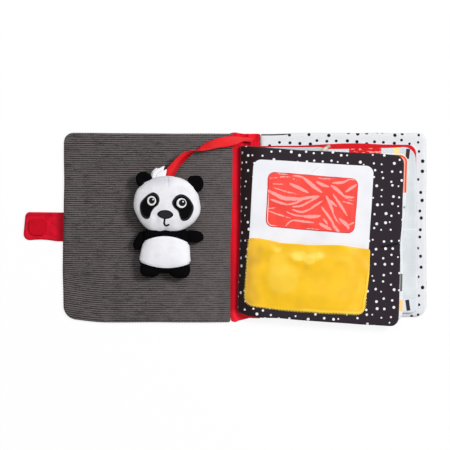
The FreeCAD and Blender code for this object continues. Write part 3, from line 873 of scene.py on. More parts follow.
def pocket_finish():
    """Yellow satin, with painted shade, duller and browner, along the flat band beside the gutter, in a fold
    inside the seam and in the top right corner, and painted highlights along its hem and where the satin is
    lifted.
    """
    finish = Finish("yellow_satin", 0.3, 0.05, Anisotropic=0.3, Specular_IOR_Level=0.42)
    place = finish.place
    x, y, _ = place.parts()
    wave = finish.satin()
    half_width, half_height = POCKET_SIZE[0] / 2, POCKET_SIZE[1] / 2
    edge = place.panel((0.0, 4.0), (half_width, half_height + 4.0), POCKET_CORNER)["Depth"]
    # Painted highlight along the rolled hem at the right side and foot.
    hem = edge.ease(3.0, 2.4) * (x.ease(-20.0, 10.0) * y.ease(16.0, 8.0))
    # Painted shade in the fold just inside the seam, towards the right.
    fold = edge.ease(2.6, 3.1) * edge.ease(4.2, 3.4) * (x.ease(30.0, 60.0, 0.0, 0.3) * y.ease(12.0, 4.0))
    bright = hem.between(wave.shaded(tone(243, 190, 6), 0.07), tone(249, 205, 58))
    bright = fold.between(bright, tone(190, 130, 10))
    # Painted highlights where the satin is lifted.
    ragged = place.noise(5.0)
    lifted = [((-10.0, 22.6), (8.4, 5.2), 0.8), ((1.6, 20.2), (6.6, 5.4), 0.85),
        ((9.6, 22.8), (6.0, 4.6), 0.6), ((-33.6, 27.2), (4.2, 2.6), 0.6),
        ((-25.0, -3.0), (19.0, 18.0), 0.32), ((-31.0, 12.0), (12.0, 14.0), 0.26),
        ((36.0, 21.6), (10.0, 2.8), 0.22)]
    for centre, half_size, share in lifted:
        spot = place.panel(centre, half_size, min(half_size), 0.2)
        reach = ragged.times(4.0, spot["Depth"] - 2.0).ease(-1.0, 0.35 * min(half_size), 0.0, share)
        bright = reach.between(bright, tone(249, 214, 78))
    # Painted shade in the top right corner, deeper yellow.
    corner = place.panel((57.0, 21.0), (10.0, 15.0), 10.0, 0.5)
    bright = corner["Depth"].ease(-2.0, 5.0).between(bright, tone(238, 183, 2))
    # Painted shade, duller and browner, along the flat band beside the gutter.
    blotches = place.noise(20.0, 1.0, 0.4)
    band = blotches.ease(0.35, 0.65).between(tone(206, 156, 44), tone(227, 174, 42))
    past_band = blotches.times(16.0, x).ease(4.0 - half_width, POCKET_BAND + 16.0 - half_width)
    finish.colour(past_band.between(band, bright))
    finish.roughness(wave.ease(0.3, 0.7, 0.3, 0.44))
    return finish.material


def printed_satin_finish():
    """Red satin with pale brush strokes; the mesh carries how deep inside a stroke a place is."""
    finish = Finish("printed_red_satin", 0.42, 0.05, Anisotropic=0.3, Specular_IOR_Level=0.2)
    place = finish.place
    x, y, _ = place.parts()
    depth = finish.add("Attribute", output="Fac", attribute_name="stroke_depth")
    torn = place.noise(2.4, 3.0).times(1.5, depth - 0.75)
    ground = finish.satin().shaded(tone(245, 74, 64), 0.12)
    stroke = place.noise(0.9).shaded(tone(255, 158, 152), 0.06)
    printed = torn.ease(-0.14, 0.14).between(ground, stroke)
    edge = place.panel((0.0, 0.0), (PATCH_SIZE[0] / 2, PATCH_SIZE[1] / 2), PATCH_CORNER)["Depth"]
    hem = edge.ease(1.0, 1.3) * edge.ease(2.3, 1.9) * y.times(0.3, x).ease(-43.0, -50.0)
    printed = hem.between(printed, tone(255, 196, 192))
    finish.colour(edge.ease(0.75, 0.45).between(printed, tone(196, 26, 40)))
    return finish.material


def plush_finish(name, colour, sheen, amount=0.06, depth=0.35, shade_under_tuft=None):
    """Short-pile plush or felt. Where a shade colour is given, it is painted as shade under the tuft."""
    finish = Finish(name, 0.95, sheen, False, Sheen_Roughness=0.5, Specular_IOR_Level=0.03)
    pile = finish.effect(PILE, place=finish.place, tuft_size=0.55)
    plush = pile["Height"].times(0.45, pile["Lie"] * 0.55).shaded(colour, amount)
    if shade_under_tuft:
        # Painted shade under the tuft, on the left of the crown.
        x, y, _ = finish.place.parts()
        plush = (y.ease(40.0, 53.0, 0.0, 0.7) * x.ease(-72.0, -88.0)).between(plush, shade_under_tuft)
    finish.colour(plush)
    finish.raise_by(pile["Height"], depth)
    return finish.material


def thread_finish(name, colour, pitch=0.5, flat=False):
    """Embroidery or sewing thread."""
    finish = Finish(name, 0.6, 0.06, flat)
    rows = finish.effect(THREAD, place=finish.place, thread_pitch=pitch)["Height"]
    finish.colour(finish.place.noise(0.7).shaded(colour, 0.15))
    finish.roughness(rows.ease(0.0, 1.0, 0.7, 0.5))
    finish.raise_by(rows, 0.12)
    return finish.material


def tape_finish(name, colour, pitch):
    """Hook or loop tape: rows of tiny stiff bristles or loops."""
    finish = Finish(name, 0.7, 0.02, False)
    weave = finish.effect(WEAVE, place=finish.place, thread_pitch=pitch)
    fuzz = finish.place.noise(pitch, 3.0)
    finish.colour(fuzz.shaded(colour, 0.2))
    finish.raise_by(weave["Height"] + fuzz, 0.3)
    return finish.material


lining_low, lining_high = node_box("front_cover_lining")
CORDUROY = corduroy_finish(lining_low[1], lining_high[1])
GREY_CLOTH = woven_finish("grey_cover_cloth", tone(86, 82, 80), 0.7)
RED_COTTON = spine_finish()
TAB_COTTON = tab_finish()
WHITE_COTTON = woven_finish("white_cotton", tone(238, 238, 240), 0.5, flat=True)
WHITE_PRINT = back_lining_finish()
TOP_PRINT = top_leaf_finish()
MIDDLE_PRINT = middle_leaf_finish()
BOTTOM_PRINT = bottom_leaf_finish()
RED_SATIN = printed_satin_finish()
YELLOW_SATIN = pocket_finish()
RIBBON_SATIN = ribbon_finish()
WHITE_PLUSH = plush_finish("white_plush", tone(238, 238, 243), 0.1)
# The head's plush is a darker, shaded copy of the white plush: painted shade over the whole head.
SHADED_HEAD_PLUSH = plush_finish("shaded_head_plush", tone(231, 231, 236), 0.1, 0.1, shade_under_tuft=tone(192, 191, 199))
BLACK_PLUSH = plush_finish("black_plush", tone(8, 7, 9), 0.0, 0.35)
WHITE_FELT = plush_finish("white_felt", tone(243, 243, 247), 0.2, 0.05, 0.2)
BLACK_FELT = plush_finish("black_felt", tone(12, 12, 14), 0.0, 0.2, 0.1)
BLACK_THREAD = thread_finish("black_embroidery", tone(9, 9, 11))
GREY_THREAD = thread_finish("grey_embroidery", tone(36, 36, 40))
YELLOW_THREAD = thread_finish("yellow_thread", tone(250, 214, 92))
RED_THREAD = thread_finish("dark_red_thread", tone(140, 2, 20))
TAB_THREAD = thread_finish("crimson_thread", tone(194, 8, 34))
SEAM_THREAD = thread_finish("grey_seam_thread", tone(78, 76, 76))
PALE_THREAD = thread_finish("pale_seam_thread", tone(206, 207, 211))
BORDER_THREAD = thread_finish("black_border_thread", tone(34, 34, 37), 0.55, flat=True)
OUTLINE_THREAD = thread_finish("black_outline_thread", tone(5, 5, 6), 0.55, flat=True)
IRIS_THREAD = thread_finish("grey_iris_thread", tone(40, 40, 44))
EYE_WHITE = thread_finish("white_eye_thread", tone(243, 243, 245))
HOOK_TAPE = tape_finish("red_hook_tape", tone(204, 4, 32), 0.9)
LOOP_TAPE = tape_finish("red_loop_tape", tone(190, 14, 38), 0.6)


# ---------------- camera, light and table

def aim_camera():
    """Camera straight above the book."""
    low, high = cad_box
    data = bpy.data.cameras.new("camera")
    data.lens = LENS
    data.sensor_width = SENSOR
    camera = placed("camera", data)
    distance = VIEW_WIDTH * MM * LENS / SENSOR
    camera.location = ((low.x + high.x) / 2 + VIEW_SHIFT[0] * MM, (low.y + high.y) / 2
        + VIEW_SHIFT[1] * MM, VIEW_HEIGHT * MM + distance)
    data.clip_end = 3 * distance
    scene.camera = camera


def soft_lamp(name, place, aim, size, power):
    """Square soft lamp aimed at a point; places and size are in metres."""
    data = bpy.data.lights.new(name, "AREA")
    data.shape = "SQUARE"
    data.size = size
    data.energy = power
    lamp = placed(name, data)
    lamp.location = place
    lamp.rotation_euler = (Vector(aim) - Vector(place)).to_track_quat("-Z", "Y").to_euler()


def light_studio():
    """Even white surroundings, a soft key lamp from the right and a weaker one from the head."""
    world = bpy.data.worlds.new("studio")
    scene.world = world
    world.use_nodes = True
    recipe = Recipe(world.node_tree)
    background = world.node_tree.nodes["Background"]
    background.inputs["Color"].default_value = (1.0, 1.0, 1.0, 1.0)
    recipe.looked_at().ease(0.0, 1.0, STUDIO_STRENGTH, 1.0).into(background.inputs["Strength"])
    soft_lamp("key_lamp", (2.2, 1.2, 3.3), (0.0, 0.0, 0.0), 1.1, 121.0)
    soft_lamp("head_lamp", (-0.2, 0.9, 1.6), (0.0, 0.0, 0.0), 0.5, 5.0)


def lay_table():
    """Pale floor that keeps the book's shadow and otherwise looks white."""
    corners = [(x * TABLE_REACH, y * TABLE_REACH, TABLE_LEVEL) for x, y in ((-1, -1), (1, -1), (1, 1), (-1, 1))]
    mesh = bpy.data.meshes.new("table")
    mesh.from_pydata(corners, [], [(0, 1, 2, 3)])
    table = placed("table", mesh)
    material = bpy.data.materials.new("white_table")
    material.use_nodes = True
    recipe = Recipe(material.node_tree)
    material.node_tree.nodes.remove(material.node_tree.nodes["Principled BSDF"])
    matt = recipe.add("BsdfDiffuse", {"Color": (0.96, 0.96, 0.96, 1.0)})
    glow = recipe.add("Emission", {"Color": (1.0, 1.0, 1.0, 1.0), "Strength": 1.0})
    mixed = recipe.add("MixShader", {0: recipe.looked_at() * TABLE_GLOW, 1: matt, 2: glow})
    mixed.into(material.node_tree.nodes["Material Output"].inputs["Surface"])
    mesh.materials.append(material)


aim_camera()
light_studio()
lay_table()


# ---------------- ribbon

def spline_points(route):
    """Points along the smooth line that a route steers, in metres."""
    data = bpy.data.curves.new("route", "CURVE")
    data.dimensions = "3D"
    data.resolution_u = 30
    spline = data.splines.new("NURBS")
    spline.points.add(len(route) - 1)
    for knot, place in zip(spline.points, route):
        knot.co = (*place, 1.0)
    spline.order_u = 3
    spline.use_endpoint_u = True
    carrier = placed("route", data)
    bpy.context.view_layer.update()
    mesh = bpy.data.meshes.new_from_object(carrier)
    places = np.array([vertex.co for vertex in mesh.vertices])
    bpy.data.meshes.remove(mesh)
    bpy.data.objects.remove(carrier)
    return places


def strip(name, line, sides, rises, half_widths, half_cloth, finish, columns):
    """Closed flat strip along a line; sides and rises are unit directions at each point."""
    across = np.linspace(-1, 1, columns + 1)
    count = len(line)
    reach = np.concatenate([[0], np.cumsum(np.linalg.norm(np.diff(line, axis=0), axis=1))])
    points, flat = [], []
    spread = half_widths[:, None]
    for face in (1, -1):
        for share in across:
            swell = half_cloth * (1 + 0.25 * abs(share) ** 6)
            points.append(line + sides * spread * share + rises * face * swell)
            flat.append(np.stack([reach, half_widths * share], axis=1))
    ring = list(range(columns + 1)) + list(range(2 * columns + 1, columns, -1))
    faces = []
    for step in range(count - 1):
        for first, second in zip(ring, ring[1:] + ring[:1]):
            faces.append([first * count + step, first * count + step + 1, second * count + step + 1,
                second * count + step])
    faces.append([column * count for column in ring])
    faces.append([column * count + count - 1 for column in ring[::-1]])
    return new_piece(name, np.concatenate(points), faces, [finish], flat=np.concatenate(flat))


def make_ribbon():
    """Flat satin ribbon from the gutter to the panda's crown, with one half turn in it."""
    line = evenly(spline_points(RIBBON_ROUTE) / MM, 110)
    reach = np.linspace(0, line_length(line), len(line))
    along = unit(np.gradient(line, axis=0))
    level = beside_of(along)
    upright = np.cross(along, level)
    past = reach - RIBBON_TWIST
    ease = np.where(past < 0, RIBBON_TWIST_EASE[0], RIBBON_TWIST_EASE[1])
    roll = math.pi / 2 * (1 + np.tanh(past / ease)) + 0.1 * np.sin(reach / 9.0) + 0.08
    sides = level * np.cos(roll)[:, None] + upright * np.sin(roll)[:, None]
    rises = upright * np.cos(roll)[:, None] - level * np.sin(roll)[:, None]
    gathered = 0.5 + 0.5 * ramp(reach, 13.0, 9.0)
    fanned = 0.2 * bump(reach, 31.0, 12.0) + 0.2 * ramp(reach, 92.0, 14.0)
    ribbon = strip("panda_ribbon", line, sides, rises, RIBBON_WIDTH / 2 * (gathered + fanned),
        RIBBON_CLOTH / 2, RIBBON_SATIN, columns=8)
    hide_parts("ribbon")
    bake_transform(ribbon)
    return line


ribbon_line = make_ribbon()


# ---------------- covers, spine and tab

def cover_wobble(plan, seed):
    """How a cover's real outline strays from its box, and the front cover's lap on the spine."""
    x, y = plan[..., 0], plan[..., 1]
    sideways = 0.4 * ripple(plan, 33.0, seed)
    lengthways = 0.35 * ripple(plan, 29.0, seed + 5)
    if seed == BACK_SEED:
        near_fore = ramp(x, 150.0, 45.0)
        sideways -= near_fore * (2.2 + 0.7 * bump(y, 8.0, 30.0))
        lengthways += ramp(y, 0, 60.0) * ramp(x, 28.0, 30.0)
        return np.stack([sideways, lengthways], axis=-1)
    near_fore = ramp(-x, 78.0, 120.0) ** 2
    near_spine = np.clip(1 + (x + 15.8) / 40.0, 0, 1) ** 2
    lap = 0.9 - 2.4 * ramp(-y, -30.0, 50.0) + 0.5 * ramp(y, 60.0, 25.0)
    sideways = sideways * (1 - near_spine) + near_spine * (lap + 0.25 * ripple(plan, 9.0, 6.0))
    sideways -= 1.3 * near_fore * bump(y, -42.0, 45.0)
    lengthways += ramp(y, 0, 60.0) * (0.4 + 1.1 * near_fore)
    lengthways -= 1.1 * ramp(-y, 0, 60.0) * (1 - 0.8 * near_fore ** 2)
    lengthways += 4.4 * ramp(-y, 0, 60.0) ** 4 * ramp(-x, 152.0, 46.0) ** 1.5
    return np.stack([sideways, lengthways], axis=-1)


def cover_plan(low, high, across, along):
    """A cover's plan before and after its outline strays, its depths, and its seed."""
    corners, seed = (FRONT_CORNERS, FRONT_SEED) if low[0] < 0 else (BACK_CORNERS, BACK_SEED)
    flat, depth = rounded_plan(box_plan(low, high), corners, across, along)
    return flat, flat + cover_wobble(flat, seed), depth, seed


def make_lining(name, nodes, finishes, along, across_step, ribs=None):
    """Upper half of a cover, over its wadding, with the cloth rolled down to the seam."""
    low, high = node_box(nodes[0])
    across = spaced(high[0] - low[0], across_step)
    flat, plan, depth, seed = cover_plan(low, high, across, along)
    if ribs:
        ribbed = ribs((flat[..., 1] - low[1]) / (high[1] - low[1]))
        near_spine = np.clip((across - 1) * (high[0] - low[0]) / 4.0 + 1, 0, 1)
        plan[..., 0] += 0.9 / WALE_HEIGHT * ribbed * near_spine
    share = rolled(depth, COVER_ROLL)
    crown = high[2] - COVER_SEAM_Z
    lumps = 0.35 * ripple(plan, 24.0, seed + 1) + 0.12 * ripple(plan, 7.0, seed + 2)
    pucker = 0.5 * ripple(plan, 9.0, seed + 3) * np.exp(-depth / 5.0)
    height = COVER_SEAM_Z + share * (crown + lumps - 0.35) + pucker * share * (1 - 0.4 * share)
    if ribs:
        height += share * ribbed
        beside, low_down = plan[..., 0] + 29.0, ramp(-plan[..., 1], 52.0, 22.0)
        crease = 0.8 * bump(beside, 0, 1.5) - 0.5 * bump(beside, 3.4, 1.8)
        height -= share * low_down * crease
    upper = with_height(plan, height)
    made = closed_panel(name, upper, None, finishes, flat)
    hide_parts(*nodes)
    return made


def wales(along):
    """Height of the corduroy's wales over the lining, for each row."""
    return WALE_HEIGHT * (np.abs(np.sin(math.pi * WALE_COUNT * along)) ** 0.8 - 0.6)


def make_outer(name, node):
    """Lower half of a cover: the outer cloth, rolled up to the seam and flat on the table."""
    low, high = node_box(node)
    across, along = grid_over(low, high, 6.0)
    _, plan, depth, seed = cover_plan(low, high, across, along)
    share = rolled(depth, COVER_ROLL)
    dent = 0.1 * (1 + ripple(plan, 17.0, seed + 8))
    foot = with_height(plan, OUTER_SEAM_Z - share * (OUTER_SEAM_Z - dent))
    # The panel is built face down: its rows run the other way, so that its face looks down.
    made = closed_panel(name, foot[::-1], None, [GREY_CLOTH], plan[::-1])
    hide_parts(node)
    return made


def make_covers():
    """Both covers, each as a lining over wadding and an outer cloth."""
    rows = np.linspace(0, 1, WALE_COUNT * ROWS_PER_WALE + 1)
    front = make_lining("front_cover_lining_cloth", ("front_cover_lining", "front_cover_wadding"),
        [CORDUROY, WHITE_COTTON], rows, 3.2, wales)
    sewn(front, "front_cover", "corduroy_grey")
    front_outer = make_outer("front_cover_outer_cloth", "front_cover_outer")
    sewn(front_outer, "front_cover", "cover_cloth_grey")
    low, high = node_box("back_cover_lining")
    back_rows = spaced(high[1] - low[1], 3.0)
    back = make_lining("back_cover_lining_cloth", ("back_cover_lining", "back_cover_wadding"),
        [WHITE_PRINT, WHITE_COTTON], back_rows, 3.0)
    sewn(back, "back_cover", "dotted_cloth_white")
    back_outer = make_outer("back_cover_outer_cloth", "back_cover_outer")
    sewn(back_outer, "back_cover", "cover_cloth_grey")
    for made, node in ((front_outer, "front_cover_outer"), (back_outer, "back_cover_outer")):
        low, high = node_box(node)


def spine_outline(plan, along):
    """The spine cloth's real outline: it laps under the front cover, and its ends are wavy."""
    x = plan[..., 0]
    moved = plan.copy()
    moved[..., 0] -= 2.9 * ramp(-x, 0, 15.5) ** 2
    near_head = np.exp(-(1 - along)[:, None] * SPINE_LENGTH / 7.0)
    near_foot = np.exp(-along[:, None] * SPINE_LENGTH / 7.0)
    bumps = 0.35 + 1.45 * bump(x, -11.0, 5.0) + 0.3 * ripple(plan, 5.0, 41.0)
    moved[..., 1] += near_head * bumps
    rise = 3.4 * ramp(x, -11.0, 15.0) - 0.9 * bump(x, -11.0, 3.5)
    moved[..., 1] += near_foot * (rise + 0.4 * ripple(plan, 4.0, 43.0))
    moved[..., 0] += near_foot * 2.3 * ramp(-x, 8.0, 8.0)
    return moved


def make_spine():
    """Red spine cloth under the leaves, sewn to both covers."""
    low, high = node_box("spine_cloth")
    width, height = high[0] - low[0], high[1] - low[1]
    across, along = spaced(width, 1.1), spaced(height, 2.0)
    plan, depth = rounded_plan(box_plan(low, high), (1.5,) * 4, across, along)
    flat = plan
    plan = spine_outline(plan, along)
    share = rolled(depth, 1.6)
    middle = (low[2] + high[2]) / 2
    lumps = 0.3 * ripple(flat, 9.0, 42.0)
    ends = np.exp(-np.minimum(along, 1 - along)[:, None] * height / 10.0)
    folds = ends * (0.9 * np.sin(flat[..., 0] / 1.9 + 0.25 * flat[..., 1])
        + 0.8 * ripple(flat * (1.0, 0.5), 5.0, 44.0))
    fold = 1.3 * bump(flat[..., 0], -11.6, 2.4)
    upper = with_height(plan, middle + share * (high[2] - middle + lumps + folds * 0.95 + fold))
    lower = with_height(plan, middle - share * (middle - low[2]))
    made = closed_panel("spine_strip", upper, lower, [RED_COTTON], flat)
    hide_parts("spine_cloth")
    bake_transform(made)


def tab_plan(plan, low, high):
    """The tab's real outline: its head edge slopes in, and its foot edge is drawn in a little."""
    share_x = (plan[..., 0] - low[0]) / (high[0] - low[0])
    share_y = (plan[..., 1] - low[1]) / (high[1] - low[1])
    moved = plan.copy()
    moved[..., 0] += (2.0 * np.clip(share_y * 1.5 - 0.35, 0, 1) - 0.8) * (1 - share_x)
    drawn = 1.7 * np.sin(math.pi * np.clip(share_x * 1.4, 0, 1)) - 1.1 * np.clip(share_x - 0.6, 0, 1)
    moved[..., 1] += drawn * (1 - share_y) + 0.9 * share_y * np.sqrt(np.clip(1 - share_x, 0, 1))
    return moved


def make_tab():
    """Closure tab of red cloth, sewn in at the front cover's fore edge."""
    low, high = node_box("closure_tab")
    across, along = grid_over(low, high, 1.0)
    plan, depth = rounded_plan(box_plan(low, high), (8.0, 1.0, 1.0, 5.0), across, along)
    plan = tab_plan(plan, low, high)
    middle = (low[2] + high[2]) / 2
    share = rolled(depth, 1.8)
    edge_roll = 1.3 * bump(depth, 2.0, 1.2) - 0.7 * bump(depth, 4.3, 1.0)
    crinkle = 1.3 * ripple(plan * (1.7, 1.0), 3.6, 50.0)
    crinkle *= bump(plan[..., 0], low[0] + 23.5, 4.0)
    edge_roll *= ramp(-plan[..., 0], 8.0 - high[0], 10.0)
    upper = with_height(plan, middle + share * (high[2] - middle + edge_roll + crinkle
        + 0.18 * ripple(plan, 8.0, 51.0)))
    lower = with_height(plan, middle - share * (middle - low[2]))
    tab = closed_panel("closure_tab_cloth", upper, lower, [TAB_COTTON], plan)
    on_cover(tab, "tab_cloth_red", "closure_tab")


def surface_of(made):
    """A piece's surface, for finding heights on it."""
    mesh = made.data
    return BVHTree.FromPolygons([vertex.co.copy() for vertex in mesh.vertices],
        [polygon.vertices[:] for polygon in mesh.polygons])


def height_on(surface, plan, missing):
    """Height of a surface above plan places, in millimetres."""
    heights = []
    for x, y in np.asarray(plan).reshape(-1, 2):
        hit = surface.ray_cast(Vector((x * MM, y * MM, LOOK_FROM)), DOWN)[0]
        heights.append(missing if hit is None else hit.z / MM)
    return np.array(heights).reshape(np.asarray(plan).shape[:-1])


def make_tape_patch(name, node, finish, body, slot, radius):
    """Hook or loop patch over its CAD place."""
    low, high = node_box(node)
    across, along = grid_over(low, high, 0.9)
    plan, depth = rounded_plan(box_plan(low, high), (radius,) * 4, across, along)
    middle = (low[2] + high[2]) / 2
    half = (high[2] - low[2]) / 2
    share = rolled(depth, 0.5)
    bristle = 0.12 * ripple(plan, 0.8, 60.0)
    upper = with_height(plan, middle + share * (half + bristle))
    lower = with_height(plan, middle - share * half)
    made = closed_panel(name, upper, lower, [finish], plan)
    sewn(made, body, slot, node)


make_covers()
make_spine()
make_tab()
make_tape_patch("hook_patch", "tab_hook_patch", HOOK_TAPE, "front_cover", "hook_tape_red", 6.0)
make_tape_patch("loop_patch", "back_loop_patch", LOOP_TAPE, "back_cover", "loop_tape_red", 2.0)


# ---------------- leaves

def leaf_columns(start, lip, flat_x, top):
    """Section of a leaf's face from the gutter up to where it lies flat, as x and height."""
    turn = np.linspace(0, math.pi / 2, GUTTER_STEPS)
    return (flat_x - (flat_x - start) * np.cos(turn), lip + (top - lip) * np.sin(turn))


def leaf_stray(index, places, rows):
    """Move a leaf's places to where its sewn outline really runs."""
    x, y = places[..., 0].copy(), places[..., 1].copy()
    if index == 0:
        bulge = 3.2 * ramp(x, -10.0, 12.0) * np.sqrt(ramp(-x, -170.0, 120.0))
        bow = 1.9 * ramp(x, 85.0, 55.0) - 0.7 * bump(x, 50.0, 20.0)
        places[..., 1] += rows * (0.7 * ramp(-x, -130.0, 40.0) + bow)
        places[..., 1] -= (bulge + 1.3 * bump(x, 17.0, 12.0)) * (1 - rows) ** 3
        near_gutter = ramp(-x, -8.0, 16.0)
        near_fore = ramp(x, 120.0, 50.0)
        places[..., 0] += near_gutter * 1.45 * np.clip((y + 35.0) / 45.0, -1, 1)
        places[..., 0] -= near_fore * 1.3 * bump(y, -20.0, 14.0)
    if index == 1:
        places[..., 1] -= 2.6 * rows ** 3 * ramp(-x, -152.0, 16.0)
        places[..., 0] -= 2.7 * ramp(x, 150.0, 20.0) * bump(y, -12.0, 34.0)
    if index == 2:
        places[..., 1] += 2.3 * rows ** 3 * bump(x, 112.0, 38.0)
    return places


def make_leaf(index, finishes):
    """One padded leaf, curving up out of the gutter."""
    low, high = node_box("leaves")
    gutter = low[0]
    flat_x = gutter + GUTTER_RISE
    top = high[2] - index * LEAF_PITCH
    spine_top = node_box("spine_cloth")[1][2]
    lip = spine_top + GUTTER_LIP - 0.2 * index
    upper_x, upper_z = leaf_columns(gutter + 2.7 * index, lip, flat_x, top)
    lower_x, lower_z = leaf_columns(gutter + 2.7 * index + 2.3, lip - 0.2, flat_x, top - LEAF_THICKNESS)
    reach = max(LEAF_REACH_HEAD[index], LEAF_REACH_FOOT[index]) - GUTTER_RISE
    outward = spaced(reach, 3.0)
    outward = outward[outward * reach >= 4.0]
    if index == 0:
        outward = np.unique(np.concatenate([outward, np.linspace(0.78, 0.96, 24)]))
    along = spaced(LEAF_HEAD_Y - LEAF_FOOT_Y, 2.6)
    if index == 0:
        along = np.unique(np.concatenate([along, np.linspace(0.44, 0.5, 26)]))
    rows = along[:, None]
    head_slope = -LEAF_SLIP_HEAD[index] / LEAF_REACH_HEAD[index]
    foot_slope = -LEAF_SLIP_FOOT[index] / LEAF_REACH_FOOT[index]
    fore = gutter + LEAF_REACH_FOOT[index] * (1 - along) + LEAF_REACH_HEAD[index] * along
    height = LEAF_HEAD_Y - LEAF_FOOT_Y
    drawn = corner_inset(along * height, LEAF_CORNER) + corner_inset((1 - along) * height, LEAF_CORNER)
    flat_part = flat_x + outward[None, :] * (fore - drawn - flat_x)[:, None]
    count = len(outward)

    def face(section_x, section_z, plateau):
        x = np.concatenate([np.repeat(section_x[None, :], len(along), 0), flat_part], axis=1)
        z = np.concatenate([np.repeat(section_z[None, :], len(along), 0),
            np.full((len(along), count), plateau)], axis=1)
        y = ((1 - rows) * (LEAF_FOOT_Y + (x - gutter) * foot_slope)
            + rows * (LEAF_HEAD_Y + (x - gutter) * head_slope))
        return leaf_stray(index, np.stack([x, y, z], axis=-1), rows)

    upper = face(upper_x, upper_z, top)
    lower = face(lower_x, lower_z, top - LEAF_THICKNESS)
    steps = np.hypot(np.diff(upper_x), np.diff(upper_z))
    climbed = np.concatenate([[0], np.cumsum(steps)])
    from_gutter = np.concatenate([np.repeat(climbed[None, :], len(along), 0),
        np.full((len(along), count), PAST_GUTTER)], axis=1)
    fore_gap = fore[:, None] - upper[..., 0]
    from_head, from_foot = (1 - rows) * height + 0 * fore_gap, rows * height + 0 * fore_gap
    depth = np.minimum(np.minimum(fore_gap, from_gutter), np.minimum(from_head, from_foot))
    for end in (from_head, from_foot):
        depth = round_corner(depth, fore_gap, end, LEAF_CORNER)
    depth = np.maximum(depth, 0)
    share = rolled(depth, LEAF_ROLL)[..., None]
    seed = 70.0 + 10 * index
    middle, half = (upper + lower) / 2, (upper - lower) / 2
    soft = 1 + 0.16 * ripple(upper, 26.0, seed) + 0.06 * ripple(upper, 8.0, seed + 1)
    pucker = 0.22 * ripple(upper, 6.5, seed + 2) * np.exp(-depth / 4.0)
    swell = share * (soft + pucker - 0.04)[..., None]
    wobble = np.stack([0.4 * ripple(upper, 31.0, seed + 3) * (depth < 90) * (upper[..., 0] > flat_x),
        0.4 * ripple(upper, 27.0, seed + 4), 0 * depth], axis=-1)
    upper_points = middle + half * swell + wobble
    lower_points = middle - half * swell + wobble
    if index == 0:
        upper_points[..., 2] -= crease_depth(upper_points[..., :2])
    flat_u = np.where(from_gutter < PAST_GUTTER, flat_x - climbed[-1] + from_gutter, upper[..., 0])
    flat = np.stack([flat_u, upper[..., 1]], axis=-1)
    made = closed_panel(LEAF_NAMES[index], upper_points, lower_points, finishes, flat)
    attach(made, "spine")
    return made


def crease_depth(plan):
    """Depth of the short crease in from the top leaf's fore edge."""
    start, end = np.array(CREASE_START), np.array(CREASE_END)
    along = end - start
    length = np.linalg.norm(along)
    along = along / length
    share = (plan - start) @ along
    beside = (plan - start) @ np.array([-along[1], along[0]])
    reach = ramp(share, 0, 9.0) * (share < length + 8)
    return reach * (3.0 * bump(beside, 0, 0.8) - 1.1 * bump(beside, 2.2, 1.0))


def make_leaves():
    """The three leaves, top leaf first."""
    top = make_leaf(0, [TOP_PRINT, WHITE_COTTON])
    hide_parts("leaves")
    make_leaf(1, [MIDDLE_PRINT, WHITE_COTTON])
    make_leaf(2, [BOTTOM_PRINT, WHITE_COTTON])
    return surface_of(top)


leaf_surface = make_leaves()


# ---------------- satin patch and pocket

def stroke_depths(plan, strokes):
    """How deep inside the nearest brush stroke each plan place is, negative outside."""
    places = plan.reshape(-1, 2)
    deepest = np.full(len(places), -9.0)
    for *knots, width in strokes:
        line = open_curve(np.reshape(knots, (3, 2)), 24)
        share = np.linspace(0, 1, len(line))
        half = 0.58 * width * np.sin(math.pi * np.clip(0.12 + 0.8 * share, 0, 1)) ** 0.7
        gap = np.linalg.norm(places[:, None, :] - line[None, :, :], axis=2)
        deepest = np.maximum(deepest, (half[None, :] - gap).max(axis=1))
    return deepest.reshape(plan.shape[:-1])


